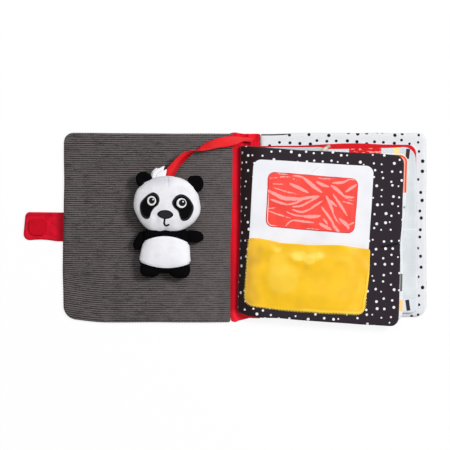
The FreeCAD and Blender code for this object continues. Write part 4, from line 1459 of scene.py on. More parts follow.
# Each brush stroke's start, bend and end as x and y, and its width.
BRUSH_STROKES = [(-46, 23, -29, 25.5, -15, 22, 1.4), (-39, 29, -34, 28.5, -28, 28.5, 1.3),
    (-45, 16.5, -38, 17, -29.5, 17.5, 1.1), (-25, 18.5, -16.5, 15.5, -4.5, 10.5, 3.1),
    (-22, 27.5, -16, 27.5, -10, 26, 1.8), (-11.5, 26.5, -2, 19.5, 10, 12, 3.5),
    (3.5, 23, 9.5, 20.5, 17, 18.5, 2.8), (-45, 13.5, -30, 10, -13, 7.5, 1.5),
    (-47.5, 9, -30.5, 2.5, -12.5, 3.5, 3.9), (-21, 1, -7, 4.5, 7, 8, 2.9), (-45, 0, -34, -3, -25, -4, 2.4),
    (-28, -4.5, -18, -2, -9.5, 2.5, 1.9), (-20.5, -6, -10.5, -4, 1.5, 3.5, 2.1),
    (-2, 1, 2, 4, 7.5, 7.5, 2.1), (-20.5, -9, -10, -11, 1.5, -6, 2.1),
    (-1.5, -7.5, 4.5, -2.5, 11.5, 3, 2.0), (-47.5, -10, -43, -9.5, -38, -8.5, 1.1),
    (-47, -12.5, -34.5, -16, -21.5, -18.5, 1.6), (-28, -11.5, -17, -15, -3.5, -15.5, 1.6),
    (-8, -15.5, 2, -15, 10.5, -13.5, 3.3), (-27, -28, -21.5, -22, -13.5, -20, 1.5),
    (-16.5, -21, -7.5, -21, 4, -21.5, 2.1), (15, 8.5, 20, 0, 24.5, -9.5, 2.9),
    (23, -7.5, 27.5, -15.5, 32.5, -20.5, 1.6), (18.5, 4.5, 23.5, 1, 27.5, -2, 2.1),
    (22.5, 10.5, 30.5, 1, 39.5, -11, 2.6), (11.5, -4, 20.5, -14.5, 27.5, -24, 2.5),
    (24.5, -21.5, 28.5, -25.5, 32.5, -29.5, 2.9), (10.5, -22, 16, -24.5, 23.5, -27.5, 3.3),
    (13.5, -16.5, 16.5, -19, 19, -22.5, 1.9), (19.5, 20, 26.5, 16, 35, 9.5, 3.0),
    (33, 10, 39, 9, 45.5, 9.5, 2.3), (21, 23, 29.5, 24, 36, 26.5, 2.4),
    (33, 26, 39.5, 28.5, 46.5, 28.5, 1.4), (36, 15, 41.5, 19.5, 47, 23.5, 2.8),
    (33.5, 4, 39.5, 3, 45, 2, 1.4), (35.5, 7, 40.5, 6, 45.5, 6, 0.8),
    (31.5, -15, 38, -19.5, 43, -25.5, 3.4), (40, -21.5, 43.5, -20, 47.5, -17.5, 1.5),
    (-3.5, -28.5, 4, -28, 12, -28.5, 1.0), (3, 28, 11, 27, 22, 28, 1.4)]


def make_patch():
    """Red satin patch, sewn flat on the top leaf with its edge turned under."""
    half = np.array(PATCH_SIZE) / 2
    low, high = -half, half
    across, along = spaced(PATCH_SIZE[0], 1.0), spaced(PATCH_SIZE[1], 1.0)
    local, depth = rounded_plan(box_plan(low, high), (PATCH_CORNER,) * 4, across, along)
    plan = turned(local, PATCH_CENTRE, PATCH_ANGLE)
    plan[..., 0] -= 1.1 * local[..., 1] / half[1] * ramp(-local[..., 0], 0, half[0])
    plan = plan + np.stack([0.35 * ripple(plan, 14.0, 90.0), 0.35 * ripple(plan, 13.0, 91.0)], -1)
    ground = height_on(leaf_surface, plan, node_box("red_patch")[0][2])
    seam = bump(depth, 2.4, 0.8)
    rise = rolled(depth, 1.4, 0.7) * (0.95 + 0.3 * ripple(plan, 11.0, 92.0)
        + 0.12 * ripple(plan, 4.0, 93.0)) - 0.4 * seam
    upper = with_height(plan, ground + 0.1 + rise)
    lower = with_height(plan, ground + 0.08)
    edge = depth <= 1e-6
    upper[edge] = lower[edge]
    made = closed_panel("red_satin_patch", upper, lower, [RED_SATIN], local)
    carry_strokes(made, local)
    sewn(made, "spine", "satin_red", "red_patch")


def carry_strokes(made, local):
    """Write each point's stroke depth on the mesh."""
    depths = stroke_depths(local, BRUSH_STROKES)
    values = np.concatenate([depths.ravel(), depths[1:-1, 1:-1].ravel()])
    layer = made.data.attributes.new("stroke_depth", "FLOAT", "POINT")
    layer.data.foreach_set("value", values.astype(np.float32))


make_patch()


def soft_frames(sims):
    """Let every cloth settle together, then keep its shape, moved no further than its cap."""
    for made, cap, settings in sims:
        cloth = made.modifiers.new("stuffing", "CLOTH")
        cloth.settings.quality = CLOTH_QUALITY
        cloth.settings.mass = CLOTH_MASS
        cloth.settings.effector_weights.gravity = 0.0
        cloth.collision_settings.use_collision = False
        for name, value in settings.items():
            setattr(cloth.settings, name, value)
        cloth.point_cache.frame_start = 1
        cloth.point_cache.frame_end = STUFFING_FRAMES
    for step in range(1, STUFFING_FRAMES + 1):
        scene.frame_set(step)
    depsgraph = bpy.context.evaluated_depsgraph_get()
    for made, cap, settings in sims:
        settled = made.evaluated_get(depsgraph).to_mesh()
        places = np.empty(len(settled.vertices) * 3, np.float32)
        settled.vertices.foreach_get("co", places)
        before = points_of(made)
        moved = places.reshape(-1, 3) / MM - before
        far = np.linalg.norm(moved, axis=1, keepdims=True)
        moved *= np.minimum(1, cap / np.maximum(far, 1e-6))
        made.evaluated_get(depsgraph).to_mesh_clear()
        made.modifiers.clear()
        set_points(made, before + moved)
    scene.frame_set(1)


def pocket_places():
    """The pocket's cut cloth: places on it, their depth inside it, and the plan they lie at."""
    half = np.array(POCKET_SIZE) / 2
    across, along = spaced(POCKET_SIZE[0], 1.7), spaced(POCKET_SIZE[1], 1.7)
    corners = box_plan(-half, half)
    local, depth = rounded_plan(corners, (POCKET_CORNER, 7.0, 3.2, 2.4), across, along)
    return local, depth, pocket_plan_of(local)


def pocket_plan_of(local):
    """Where places on the pocket's cut cloth lie, with its mouth drawn up at both ends."""
    plan = turned(local, POCKET_CENTRE, POCKET_ANGLE)
    x, y = local[..., 0], local[..., 1]
    wave = 0.4 * ripple(plan, 21.0, 100.0) + 0.2 * ripple(plan, 8.0, 101.0)
    drawn_up = 2.0 * ramp(-x, 32.0, 30.0) + 1.0 * ramp(x, 10.0, 55.0)
    drawn_up += 2.0 * bump(x, 30.0, 20.0) - 0.2
    drawn_up += 2.0 * bump(x, -49.0, 14.0) - 0.4 * bump(x, -25.0, 9.0)
    let_down = 1.5 * bump(x, -16.0, 28.0) + 0.9 * bump(x, 18.0, 14.0)
    let_down -= 0.8 * bump(x, -62.0, 8.0)
    head_share, foot_share = ramp(y, 0, 35), ramp(-y, 0, 35)
    plan[..., 1] += wave + drawn_up * head_share - let_down * foot_share
    left_share, right_share = ramp(-x, 0, 60), ramp(x, 36.0, 30)
    bowed = 1.0 * bump(y, 10.0, 12.0) - 1.7 * foot_share ** 2
    plan[..., 0] += 0.4 * ripple(plan, 19.0, 102.0) + left_share * (1.0 + 0.7 * foot_share)
    plan[..., 0] += right_share * bowed
    return plan


def pocket_start(local, plan, ground):
    """Loose pocket before it settles: it stands open at the mouth and is flat at its seams."""
    from_left = local[..., 0] + POCKET_SIZE[0] / 2 - POCKET_BAND
    loose = POCKET_SIZE[0] - POCKET_BAND
    across = np.sin(math.pi * ramp(from_left, 0, loose)) ** 0.55
    opened = ramp(local[..., 1] + POCKET_SIZE[1] / 2, 0, POCKET_SIZE[1])
    lift = POCKET_MOUTH_LIFT * across * np.sin(math.pi / 2 * opened ** 0.75) ** 0.8
    folds = 0.5 * ripple(plan * (1.0, 0.45), 19.0, 103.0)
    return ground + 0.7 + lift + folds * across * np.clip(opened * 3, 0, 1)


def pocket_cloth_sim(local, plan, height):
    """The pocket's cloth as an open sheet, held along its three seams and its flat band."""
    rows, columns = height.shape
    index = np.arange(rows * columns).reshape(rows, columns)
    sheet = new_piece("pocket_settling", with_height(plan, height).reshape(-1, 3), grid_faces(index), [])
    held = sheet.vertex_groups.new(name="seams")
    half_width = POCKET_SIZE[0] / 2
    in_band = local[..., 0] < -half_width + POCKET_BAND
    in_seam = (local[..., 0] > half_width - 2.6) | (local[..., 1] < -POCKET_SIZE[1] / 2 + 2.6)
    held.add(index[in_band | in_seam].ravel().tolist(), 1.0, "ADD")
    return sheet


def smoothed(values, rounds):
    """Values on a grid, each drawn towards its neighbours' mean."""
    values = values.copy()
    for _ in range(rounds):
        near = (values[:-2, 1:-1] + values[2:, 1:-1] + values[1:-1, :-2] + values[1:-1, 2:]) / 4
        values[1:-1, 1:-1] += 0.7 * (near - values[1:-1, 1:-1])
    return values


def make_pocket_cloth(local, depth, plan, ground, sheet):
    """Yellow satin pocket from its settled cloth, with its turned edge and stitched seams."""
    settled = points_of(sheet).reshape(*plan.shape[:2], 3)
    bpy.data.objects.remove(sheet)
    settled[..., 2] = ground + smoothed(settled[..., 2] - ground, 14)
    half_width, half_height = POCKET_SIZE[0] / 2, POCKET_SIZE[1] / 2
    from_right, from_foot = half_width - local[..., 0], local[..., 1] + half_height
    from_left, from_mouth = local[..., 0] + half_width, half_height - local[..., 1]
    seam_reach = np.minimum(np.minimum(from_right, from_foot), from_left)
    seam = bump(seam_reach, 3.0, 0.8) + 0.7 * bump(from_left, POCKET_BAND, 0.8)
    fold = bump(from_right - 8.6 + 0.05 * from_foot, 0, 1.1) * (from_foot < 42)
    near_right = np.minimum(from_right, from_foot) * (from_foot < 46)
    hem = 0.3 * bump(from_mouth, 1.3, 0.9)
    hem = hem + 0.8 * bump(near_right, 1.5, 0.9) * (local[..., 0] > -20)
    rise = settled[..., 2] - 0.35 * seam - 0.7 * fold + hem
    for x, y, width, length, height in POCKET_PUFFS:
        rise = rise + height * np.exp(-((plan[..., 0] - x) / width) ** 2
            - ((plan[..., 1] - y) / length) ** 2)
    rise = np.maximum(rise, ground + 0.55)
    peak = node_box("yellow_pocket")[1][2]
    loose = rise - ground
    rise = ground + loose * min(1.0, (peak - 0.3 - ground.max()) / loose.max())
    seam_pucker = 0.12 * ripple(plan, 2.2, 105.0) * np.exp(-seam_reach / 3.0)
    thickness = POCKET_CLOTH * rolled(depth, 0.9)
    upper = np.concatenate([settled[..., :2], (rise + seam_pucker)[..., None]], axis=-1)
    lower = upper.copy()
    lower[..., 2] -= thickness
    edge_seam = (seam_reach < 1e-6) | (depth < 1e-6)
    at_mouth = from_mouth < 1e-6
    upper[..., 2] = np.where(edge_seam & ~at_mouth, ground + 0.3, upper[..., 2])
    lower[..., 2] = np.maximum(lower[..., 2], ground + 0.12)
    made = closed_panel("yellow_satin_pocket", upper, lower, [YELLOW_SATIN], local)
    sewn(made, "spine", "satin_yellow", "yellow_pocket")


# ---------------- stitching

def stitch_run(name, line, pitch, length, radius, finish, slant=0.0):
    """Row of stitches along a line, each a short round thread sunk at both ends. A slant of
    90 degrees lays them across the line."""
    places = evenly(np.asarray(line, float), max(2, round(line_length(line) / pitch) + 1))
    along = unit(np.gradient(places, axis=0))
    turn = math.radians(slant)
    along = along * math.cos(turn) + beside_of(along) * math.sin(turn)
    beside = beside_of(along)
    upward = np.cross(along, beside)
    round_turn = np.arange(THREAD_SIDES) * 2 * math.pi / THREAD_SIDES
    sections = [(-0.5, 0.25, -0.6), (-0.4, 0.85, 0.0), (0.0, 1.0, 0.35), (0.4, 0.85, 0.0),
        (0.5, 0.25, -0.6)]
    points, faces = [], []
    for place, forward, across, up in zip(places, along, beside, upward):
        base = len(points)
        for share, width, rise in sections:
            middle = place + forward * share * length + up * rise * radius
            for angle in round_turn:
                points.append(middle + radius * width * (across * math.cos(angle) + up * math.sin(angle)))
        faces += tube_faces(base, len(sections), THREAD_SIDES)
    return new_piece(name, np.array(points), faces, [finish])


def seam_on(surface, plan, missing):
    """Line of places on a surface, above a plan line."""
    return with_height(np.asarray(plan, float), height_on(surface, plan, missing))


def stitch_pocket():
    """Overlocked edge of the pocket along its left side, its foot and the lowest part of its right side."""
    half = np.array(POCKET_SIZE) / 2
    radius = POCKET_CORNER
    corner = [(-math.cos(turn), -math.sin(turn)) for turn in np.linspace(0, math.pi / 2, 7)]
    left = [(-half[0], half[1] - 2), (-half[0], 0), (-half[0], -half[1] + radius)]
    left_corner = [(-half[0] + radius + x * radius, -half[1] + radius + y * radius) for x, y in corner]
    right_corner = [(half[0] - radius - x * radius, -half[1] + radius + y * radius) for x,
        y in corner[::-1]]
    right = [(half[0], -half[1] + radius), (half[0], -half[1] + radius + 6)]
    outline = evenly(np.array(left + left_corner + right_corner + right), 230)
    plan = pocket_plan_of(outline)
    line = seam_on(leaf_surface, plan, node_box("leaves")[1][2]) + (0, 0, 0.45)
    edge = stitch_run("pocket_overlock", line, 1.6, 2.5, 0.42, YELLOW_THREAD, 90.0)
    sewn(edge, "spine", "satin_yellow")


def stitch_ribbon(head_surface):
    """Row of dark stitches that holds the ribbon on the crown."""
    end, before = ribbon_line[-1], ribbon_line[-14]
    crown = next(place for place in ribbon_line
                 if head_surface.ray_cast(Vector((*(place[:2] * MM), LOOK_FROM)), DOWN)[0])
    forward = (end - before)[:2] / np.linalg.norm((end - before)[:2])
    across = np.array([-forward[1], forward[0]])
    middle = crown[:2] - forward * 1.2
    ends = [(*(middle + across * side * 3.6), crown[2] + 0.35) for side in (-1, 0, 1)]
    row = stitch_run("ribbon_stitches", np.array(ends), 2.4, 2.4, 0.55, RED_THREAD, 90.0)
    on_cover(row, "ribbon_red")


def stitch_gutter():
    """Lockstitch down the gutter, through the lip of the top leaf."""
    gutter, spine_top = node_box("leaves")[0][0], node_box("spine_cloth")[1][2]
    y = np.linspace(LEAF_FOOT_Y + 3, LEAF_HEAD_Y - 3, 90)
    line = seam_on(leaf_surface, np.stack([0 * y + gutter + 0.9, y], axis=1), spine_top + 2.6)
    seam = stitch_run("gutter_stitches", line + (0, 0, 0.1), 3.2, 2.3, 0.28, BLACK_THREAD)
    sewn(seam, "spine", "thread_black")


def stitch_tab():
    """Topstitching round the hook patch on the tab."""
    low, high = node_box("tab_hook_patch")
    middle, half = (low + high) / 2, (high - low) / 2 - 1.3
    turn = np.linspace(0, 2 * math.pi, 61)
    cosine, sine = np.cos(turn), np.sin(turn)
    line = np.stack([middle[0] + half[0] * np.sign(cosine) * np.abs(cosine) ** 0.55, middle[1]
        + half[1] * np.sign(sine) * np.abs(sine) ** 0.55], axis=1)
    line = with_height(line, high[2] + 0.05)
    row = stitch_run("tab_stitches", line, 2.4, 1.7, 0.25, TAB_THREAD)
    on_cover(row, "tab_cloth_red")


def stitch_covers():
    """Edge seam round each cover, in the groove where lining and outer cloth meet."""
    for node, body, slot, thread in (
            ("front_cover_lining", "front_cover", "corduroy_grey", SEAM_THREAD),
            ("back_cover_lining", "back_cover", "dotted_cloth_white", PALE_THREAD)):
        low, high = node_box(node)
        across, along = grid_over(low, high, 4.0)
        _, plan, _, _ = cover_plan(low, high, across, along)
        rim = np.concatenate([plan[0, :], plan[1:, -1], plan[-1, -2::-1], plan[-2:0:-1, 0]])
        line = with_height(evenly(np.vstack([rim, rim[:1]]), 420), COVER_SEAM_Z)
        seam = stitch_run(node.replace("lining", "seam_stitches"), line, 3.0, 2.0, 0.22, thread)
        sewn(seam, body, slot)


# ---------------- panda

def radius_towards(outline, angles):
    """Distance from the origin to a closed outline in each direction."""
    line = closed_curve(outline, 360)
    turns = np.unwrap(np.arctan2(line[:, 1], line[:, 0]))
    reach = np.hypot(line[:, 0], line[:, 1])
    order = np.argsort(turns % (2 * math.pi))
    return np.interp(angles % (2 * math.pi), (turns % (2 * math.pi))[order], reach[order],
        period=2 * math.pi)


def ball_mesh(level):
    """Points and faces of an even ball."""
    shape = bmesh.new()
    bmesh.ops.create_icosphere(shape, subdivisions=level, radius=1.0)
    points = np.array([vertex.co for vertex in shape.verts])
    faces = [[vertex.index for vertex in face.verts] for face in shape.faces]
    shape.free()
    return points, faces


def stuffed_form(name, node, outline, finish, level=4, fullness=2.5, angle=0.0):
    """Plush form whose plan outline is given about the middle of its CAD node."""
    low, high = node_box(node)
    middle, half_height = (low + high) / 2, (high[2] - low[2]) / 2
    ball, faces = ball_mesh(level)
    flat_reach = np.hypot(ball[:, 0], ball[:, 1])
    size = (flat_reach ** fullness + np.abs(ball[:, 2]) ** fullness) ** (-1 / fullness)
    direction = np.arctan2(ball[:, 1], ball[:, 0])
    radius = radius_towards(outline, direction) * size * flat_reach
    local = np.stack([radius * np.cos(direction), radius * np.sin(direction)], axis=1)
    plan = turned(local, middle[:2], angle)
    points = with_height(plan, middle[2] + half_height * size * ball[:, 2])
    return new_piece(name, points, faces, [finish])


def plumped(made, low, high, seed, pucker):
    """Fit a settled form to its place and give its plush a soft unevenness."""
    points = points_of(made)
    span = points.max(axis=0) - points.min(axis=0)
    points = low + (points - points.min(axis=0)) / span * (high - low)
    set_points(made, points)
    smooth = made.modifiers.new("smooth", "SUBSURF")
    smooth.levels = 1
    settled = bpy.data.meshes.new_from_object(made.evaluated_get(bpy.context.evaluated_depsgraph_get()))
    made.modifiers.clear()
    old = made.data
    made.data = settled
    bpy.data.meshes.remove(old)
    points = points_of(made)
    normals = np.empty(len(points) * 3, np.float32)
    made.data.vertices.foreach_get("normal", normals)
    swell = pucker * (ripple(points, 9.0, seed) + 0.3 * ripple(points, 1.7, seed + 1))
    set_points(made, points + normals.reshape(-1, 3) * swell[:, None])
    made.data.polygons.foreach_set("use_smooth", np.ones(len(made.data.polygons), bool))
    made.data.update()


HEAD_OUTLINE = [(3.3, 30.3), (10.3, 29.3), (16.6, 27.2), (26.0, 22.2), (32.9, 13.0), (35.7, 3.8),
    (36.6, -5.3), (34.7, -12.9), (27.8, -21.1), (19.0, -26.9), (13.0, -30.2), (4.0, -31.0), (-3.0, -29.5),
    (-6.5, -30.8), (-15.9, -29.8), (-20.6, -27.8), (-26.8, -22.3), (-33.0, -13.6), (-36.5, -4.1),
    (-36.5, 5.8), (-33.3, 15.4), (-25.4, 23.6), (-18.6, 27.4), (-8.0, 30.0)]
BODY_OUTLINE = [(0, 25.5), (16, 25.2), (23.4, 21.2), (24.8, 12), (26.8, 3), (27.6, -7), (27.8, -14),
    (25, -20.5), (13, -24), (0, -25), (-13, -24), (-24.5, -20.5), (-28.9, -14), (-28.3, -7), (-26.0, 3),
    (-23.8, 12), (-22.4, 21.0), (-15.5, 25.2)]
ARM_OUTLINE = [(0, 11.3), (3.6, 10.3), (5.7, 6.5), (6.0, 0), (5.6, -6.4), (3.2, -10.4), (0, -11.5),
    (-3.2, -10.4), (-5.6, -6.4), (-6.0, 0), (-5.7, 6.5), (-3.6, 10.3)]
LEG_OUTLINE = [(0, 9.4), (6.6, 9.0), (9.8, 4.6), (10.6, -1.2), (9.0, -6.4), (4.4, -9.2), (-1.0, -9.5),
    (-6.0, -8.8), (-9.6, -5.6), (-10.6, -0.6), (-9.6, 4.6), (-6.0, 9.0)]
EAR_OUTLINE = [(-7.4, -6.5), (-8.2, -0.6), (-6.2, 5.6), (-1.4, 8.3), (3.8, 7.2), (7.4, 2.4), (7.8, -3.6),
    (3.4, -8.0), (-2.8, -8.9)]
LEFT_PATCH = [(5.4, 14.1), (0.8, 12.9), (-4.5, 8.8), (-9.0, 3.1), (-9.9, -3.3), (-8.5, -9.7),
    (-5.6, -13.6), (-2.1, -14.8), (0.8, -13.1), (2.5, -7.9), (5.4, -3.3), (9.9, 0.7), (11.6, 6.0),
    (9.9, 11.1)]
RIGHT_PATCH = [(-2.8, 14.6), (-7.9, 12.0), (-11.4, 6.2), (-9.7, 1.0), (-5.0, -3.6), (-3.3, -8.8),
    (-1.6, -12.9), (1.8, -14.2), (6.5, -12.3), (10.4, -6.5), (12.0, 0.5), (10.4, 5.1), (7.0, 10.2),
    (2.4, 13.7)]
FORM_FITS = {"panda_head": ((1.0, -0.5, 0.0), (-0.6, -1.0, 0.0)),   # low and high corners move
             "panda_arm_left": ((1.5, -0.3, 0.0), (2.8, -0.8, 0.0)),
             "panda_arm_right": ((0.3, 0.4, 0.0), (1.5, 0.3, 0.0)),
             "panda_leg_left": ((2.3, 0.5, 0.0), (2.9, 0.8, 0.0)),
             "panda_leg_right": ((-0.2, 0.8, 0.0), (2.1, 1.6, 0.0)),
             "panda_ear_left": ((-1.5, -2.6, -0.5), (1.0, 0.0, 0.5)),
             "panda_ear_right": ((-1.0, -3.2, -0.5), (1.6, 0.8, 0.5))}
LIMBS = [("panda_arm_left", ARM_OUTLINE, -35.0), ("panda_arm_right", ARM_OUTLINE, 85.0),
    ("panda_leg_left", LEG_OUTLINE, -3.0), ("panda_leg_right", LEG_OUTLINE, -13.0),
    ("panda_ear_left", EAR_OUTLINE, 12.0), ("panda_ear_right", EAR_OUTLINE, -78.0)]


def start_panda():
    """The panda's stuffed forms before they settle."""
    forms = {"panda_head": stuffed_form("panda_head_plush", "panda_head", HEAD_OUTLINE, SHADED_HEAD_PLUSH,
        level=5, fullness=2.3)}
    for node, outline, angle in LIMBS:
        forms[node] = stuffed_form(node + "_plush", node, outline, BLACK_PLUSH, angle=angle)
    low, high = body_box()
    body = stuffed_form("panda_body_plush", "panda_belly", BODY_OUTLINE, WHITE_PLUSH, level=5, fullness=2.4)
    shift = (low + high) / 2 - middle_of("panda_belly")
    set_points(body, points_of(body) + shift)
    forms["panda_belly"] = body
    return forms


def form_box(node):
    """Box that a settled form fills: its node's, with each corner moved a little."""
    low, high = node_box(node)
    return low + FORM_FITS[node][0], high + FORM_FITS[node][1]


def body_box():
    """Box of the panda's whole body, from its neck to its seat."""
    low, high = node_box("panda_belly")
    return (np.array([low[0] + 1.0, low[1] - 1.6, low[2]]),
        np.array([high[0] + 0.3, node_box("panda_shoulders")[1][1], high[2]]))


def seam_line(plan_x, middle, rise, bend, aside):
    """Where a seam across the body lies: its y for each x."""
    return rise + bend * (plan_x - middle - aside) ** 2


NECK_SEAM = (-9.2, -0.0109, -0.8)
SEAT_SEAM = (-43.6, 0.0079, 1.8)


def cut_body(body):
    """Cut the settled body along its two seams into shoulders, belly and seat."""
    middle = points_of(body)[:, 0].mean()
    points = points_of(body)
    for seam in (NECK_SEAM, SEAT_SEAM):
        gap = points[:, 1] - seam_line(points[:, 0], middle, *seam)
        pinch = 1 - 0.055 * bump(gap, 0, 1.3)
        centre_z = (points[:, 2].max() + points[:, 2].min()) / 2
        points[:, 0] = middle + (points[:, 0] - middle) * pinch
        points[:, 2] = centre_z + (points[:, 2] - centre_z) * pinch
    set_points(body, points)
    pieces = [("panda_shoulder_plush", BLACK_PLUSH, [(NECK_SEAM, 1)]),
        ("panda_belly_plush", WHITE_PLUSH, [(NECK_SEAM, -1), (SEAT_SEAM, 1)]),
        ("panda_seat_plush", BLACK_PLUSH, [(SEAT_SEAM, -1)])]
    cut = [cut_piece(body, name, finish, sides, middle) for name, finish, sides in pieces]
    bpy.data.objects.remove(body)
    return cut


def cut_piece(body, name, finish, sides, middle):
    """The part of the body on the kept side of each seam, closed where it is cut."""
    shape = bmesh.new()
    shape.from_mesh(body.data)
    for seam, side in sides:
        for vertex in shape.verts:
            vertex.co.y -= seam_line(vertex.co.x / MM, middle, *seam) * MM
        everything = shape.verts[:] + shape.edges[:] + shape.faces[:]
        result = bmesh.ops.bisect_plane(shape, geom=everything, dist=1e-7, plane_co=(0, 0, 0),
            plane_no=(0, -side, 0), clear_outer=True)
        rim = [item for item in result["geom_cut"] if isinstance(item, bmesh.types.BMEdge)]
        bmesh.ops.contextual_create(shape, geom=rim)
        for vertex in shape.verts:
            vertex.co.y += seam_line(vertex.co.x / MM, middle, *seam) * MM
    bmesh.ops.recalc_face_normals(shape, faces=shape.faces)
    mesh = bpy.data.meshes.new(name)
    shape.to_mesh(mesh)
    shape.free()
    mesh.materials.clear()
    mesh.materials.append(finish)
    return placed(name, mesh)


def finish_panda(forms):
    """Fit the settled forms to their places; returns the head's surface."""
    head = forms["panda_head"]
    low, high = form_box("panda_head")
    plumped(head, low, high, 110.0, 0.35)
    dart_groove(head, high[1])
    on_cover(head, "plush_white", "panda_head")
    for number, (node, *_) in enumerate(LIMBS):
        made = forms[node]
        low, high = form_box(node)
        plumped(made, low, high, 120.0 + 3 * number, 0.3)
        if "ear" in node:
            hollow_ear(made)
        on_cover(made, "plush_black", node)
    body = forms["panda_belly"]
    plumped(body, *body_box(), 140.0, 0.35)
    shoulders, belly, seat = cut_body(body)
    on_cover(shoulders, "plush_black", "panda_shoulders")
    on_cover(belly, "plush_white", "panda_belly")
    on_cover(seat, "plush_black")
    return surface_of(head)


def dart_groove(head, crown):
    """Short sewn dart down from the crown, and a soft dent beside the nose."""
    points = points_of(head)
    middle = points[:, 0].mean()
    upward = points[:, 2] > 18
    down = crown - points[:, 1]
    dart = bump(points[:, 0] - middle, 0.9, 0.7) * ramp(-down, -13.5, 5)
    dent = np.exp(-((points[:, 0] - middle + 11.5) / 3.4) ** 2 - ((points[:, 1] - crown + 47.0) / 8.0) ** 2)
    band = bump(down, 5.2, 1.5) * ramp(middle + 6, points[:, 0], 10)
    points[:, 2] -= upward * (1.3 * dart + 1.2 * dent + 0.6 * band)
    set_points(head, points)


def hollow_ear(ear):
    """Press the front of an ear in a little, as its seam does."""
    points = points_of(ear)
    middle = (points.max(axis=0) + points.min(axis=0)) / 2
    reach = np.hypot(points[:, 0] - middle[0], points[:, 1] - middle[1])
    points[:, 2] -= 2.2 * bump(reach, 0, 4.2) * (points[:, 2] > middle[2])
    set_points(ear, points)


def stitched_shape(name, outline, middle, surface, thickness, finishes, border=0.0, border_rise=0.0):
    """Flat stitched shape draped on a surface. Its border, if any, takes the second finish."""
    count = 96
    line = closed_curve(outline, count)
    reach = float(np.hypot(line[:, 0], line[:, 1]).mean())
    inner = [0.0, 0.25, 0.5, 0.7, 0.85, 1.0]
    inner_count = len(inner)
    if border:
        rings = [share * (1 - border / reach) for share in inner]
        rings += [1 - border / reach * share for share in (0.92, 0.75, 0.5, 0.25, 0.08, 0.0)]
    else:
        rings = [share * 0.9 for share in inner[:-1]] + [0.93, 0.97, 0.99, 1.0]
    shares = np.array(rings[1:])
    arc = np.linspace(0, float(np.linalg.norm(np.roll(line, -1, 0) - line, axis=1).sum()), count)
    plan = np.concatenate([np.zeros((1, 2)), (line[None] * shares[:, None, None]).reshape(-1, 2)])
    plan = plan + np.asarray(middle)[:2]
    ground = height_on(surface, plan, 0.0)
    gap = np.concatenate([[reach], np.repeat((1 - shares) * reach, count)])
    rise = thickness * rolled(gap, 0.7, 0.8)
    if border:
        ridge = np.clip(1 - np.abs(gap - border / 2) / (border / 2), 0, 1)
        rise = np.maximum(rise, (thickness + border_rise) * np.sqrt(ridge))
    upper = with_height(plan, ground + rise)
    lower = with_height(plan, ground - STITCH_SINK)
    rim = [1 + (len(shares) - 1) * count + step for step in range(count)]
    total = len(upper)
    faces, face_finish = [], []
    for step in range(count):
        after = (step + 1) % count
        faces.append([0, 1 + step, 1 + after])
        face_finish.append(0)
        for ring in range(len(shares) - 1):
            first, second = 1 + ring * count, 1 + (ring + 1) * count
            faces.append([first + step, second + step, second + after, first + after])
            face_finish.append(1 if border and ring + 1 >= inner_count - 1 else 0)
        faces.append([rim[step], total + step, total + after, rim[after]])
        face_finish.append(len(finishes) - 1 if border else 0)
    faces.append([total + step for step in range(count)][::-1])
    face_finish.append(0)
    points = np.concatenate([upper, lower[rim]])
    around = np.concatenate([[0], np.tile(arc, len(shares))])
    flat = np.where((gap < border)[:, None], np.stack([gap, around], axis=1), plan)
    flat = np.concatenate([flat, flat[rim]])
    return new_piece(name, points, faces, finishes, face_finish, flat)


def oval(half_width, half_height):
    """Outline of an oval."""
    turn = np.arange(OVAL_POINTS) * 2 * math.pi / OVAL_POINTS
    return np.stack([half_width * np.cos(turn), half_height * np.sin(turn)], axis=1)


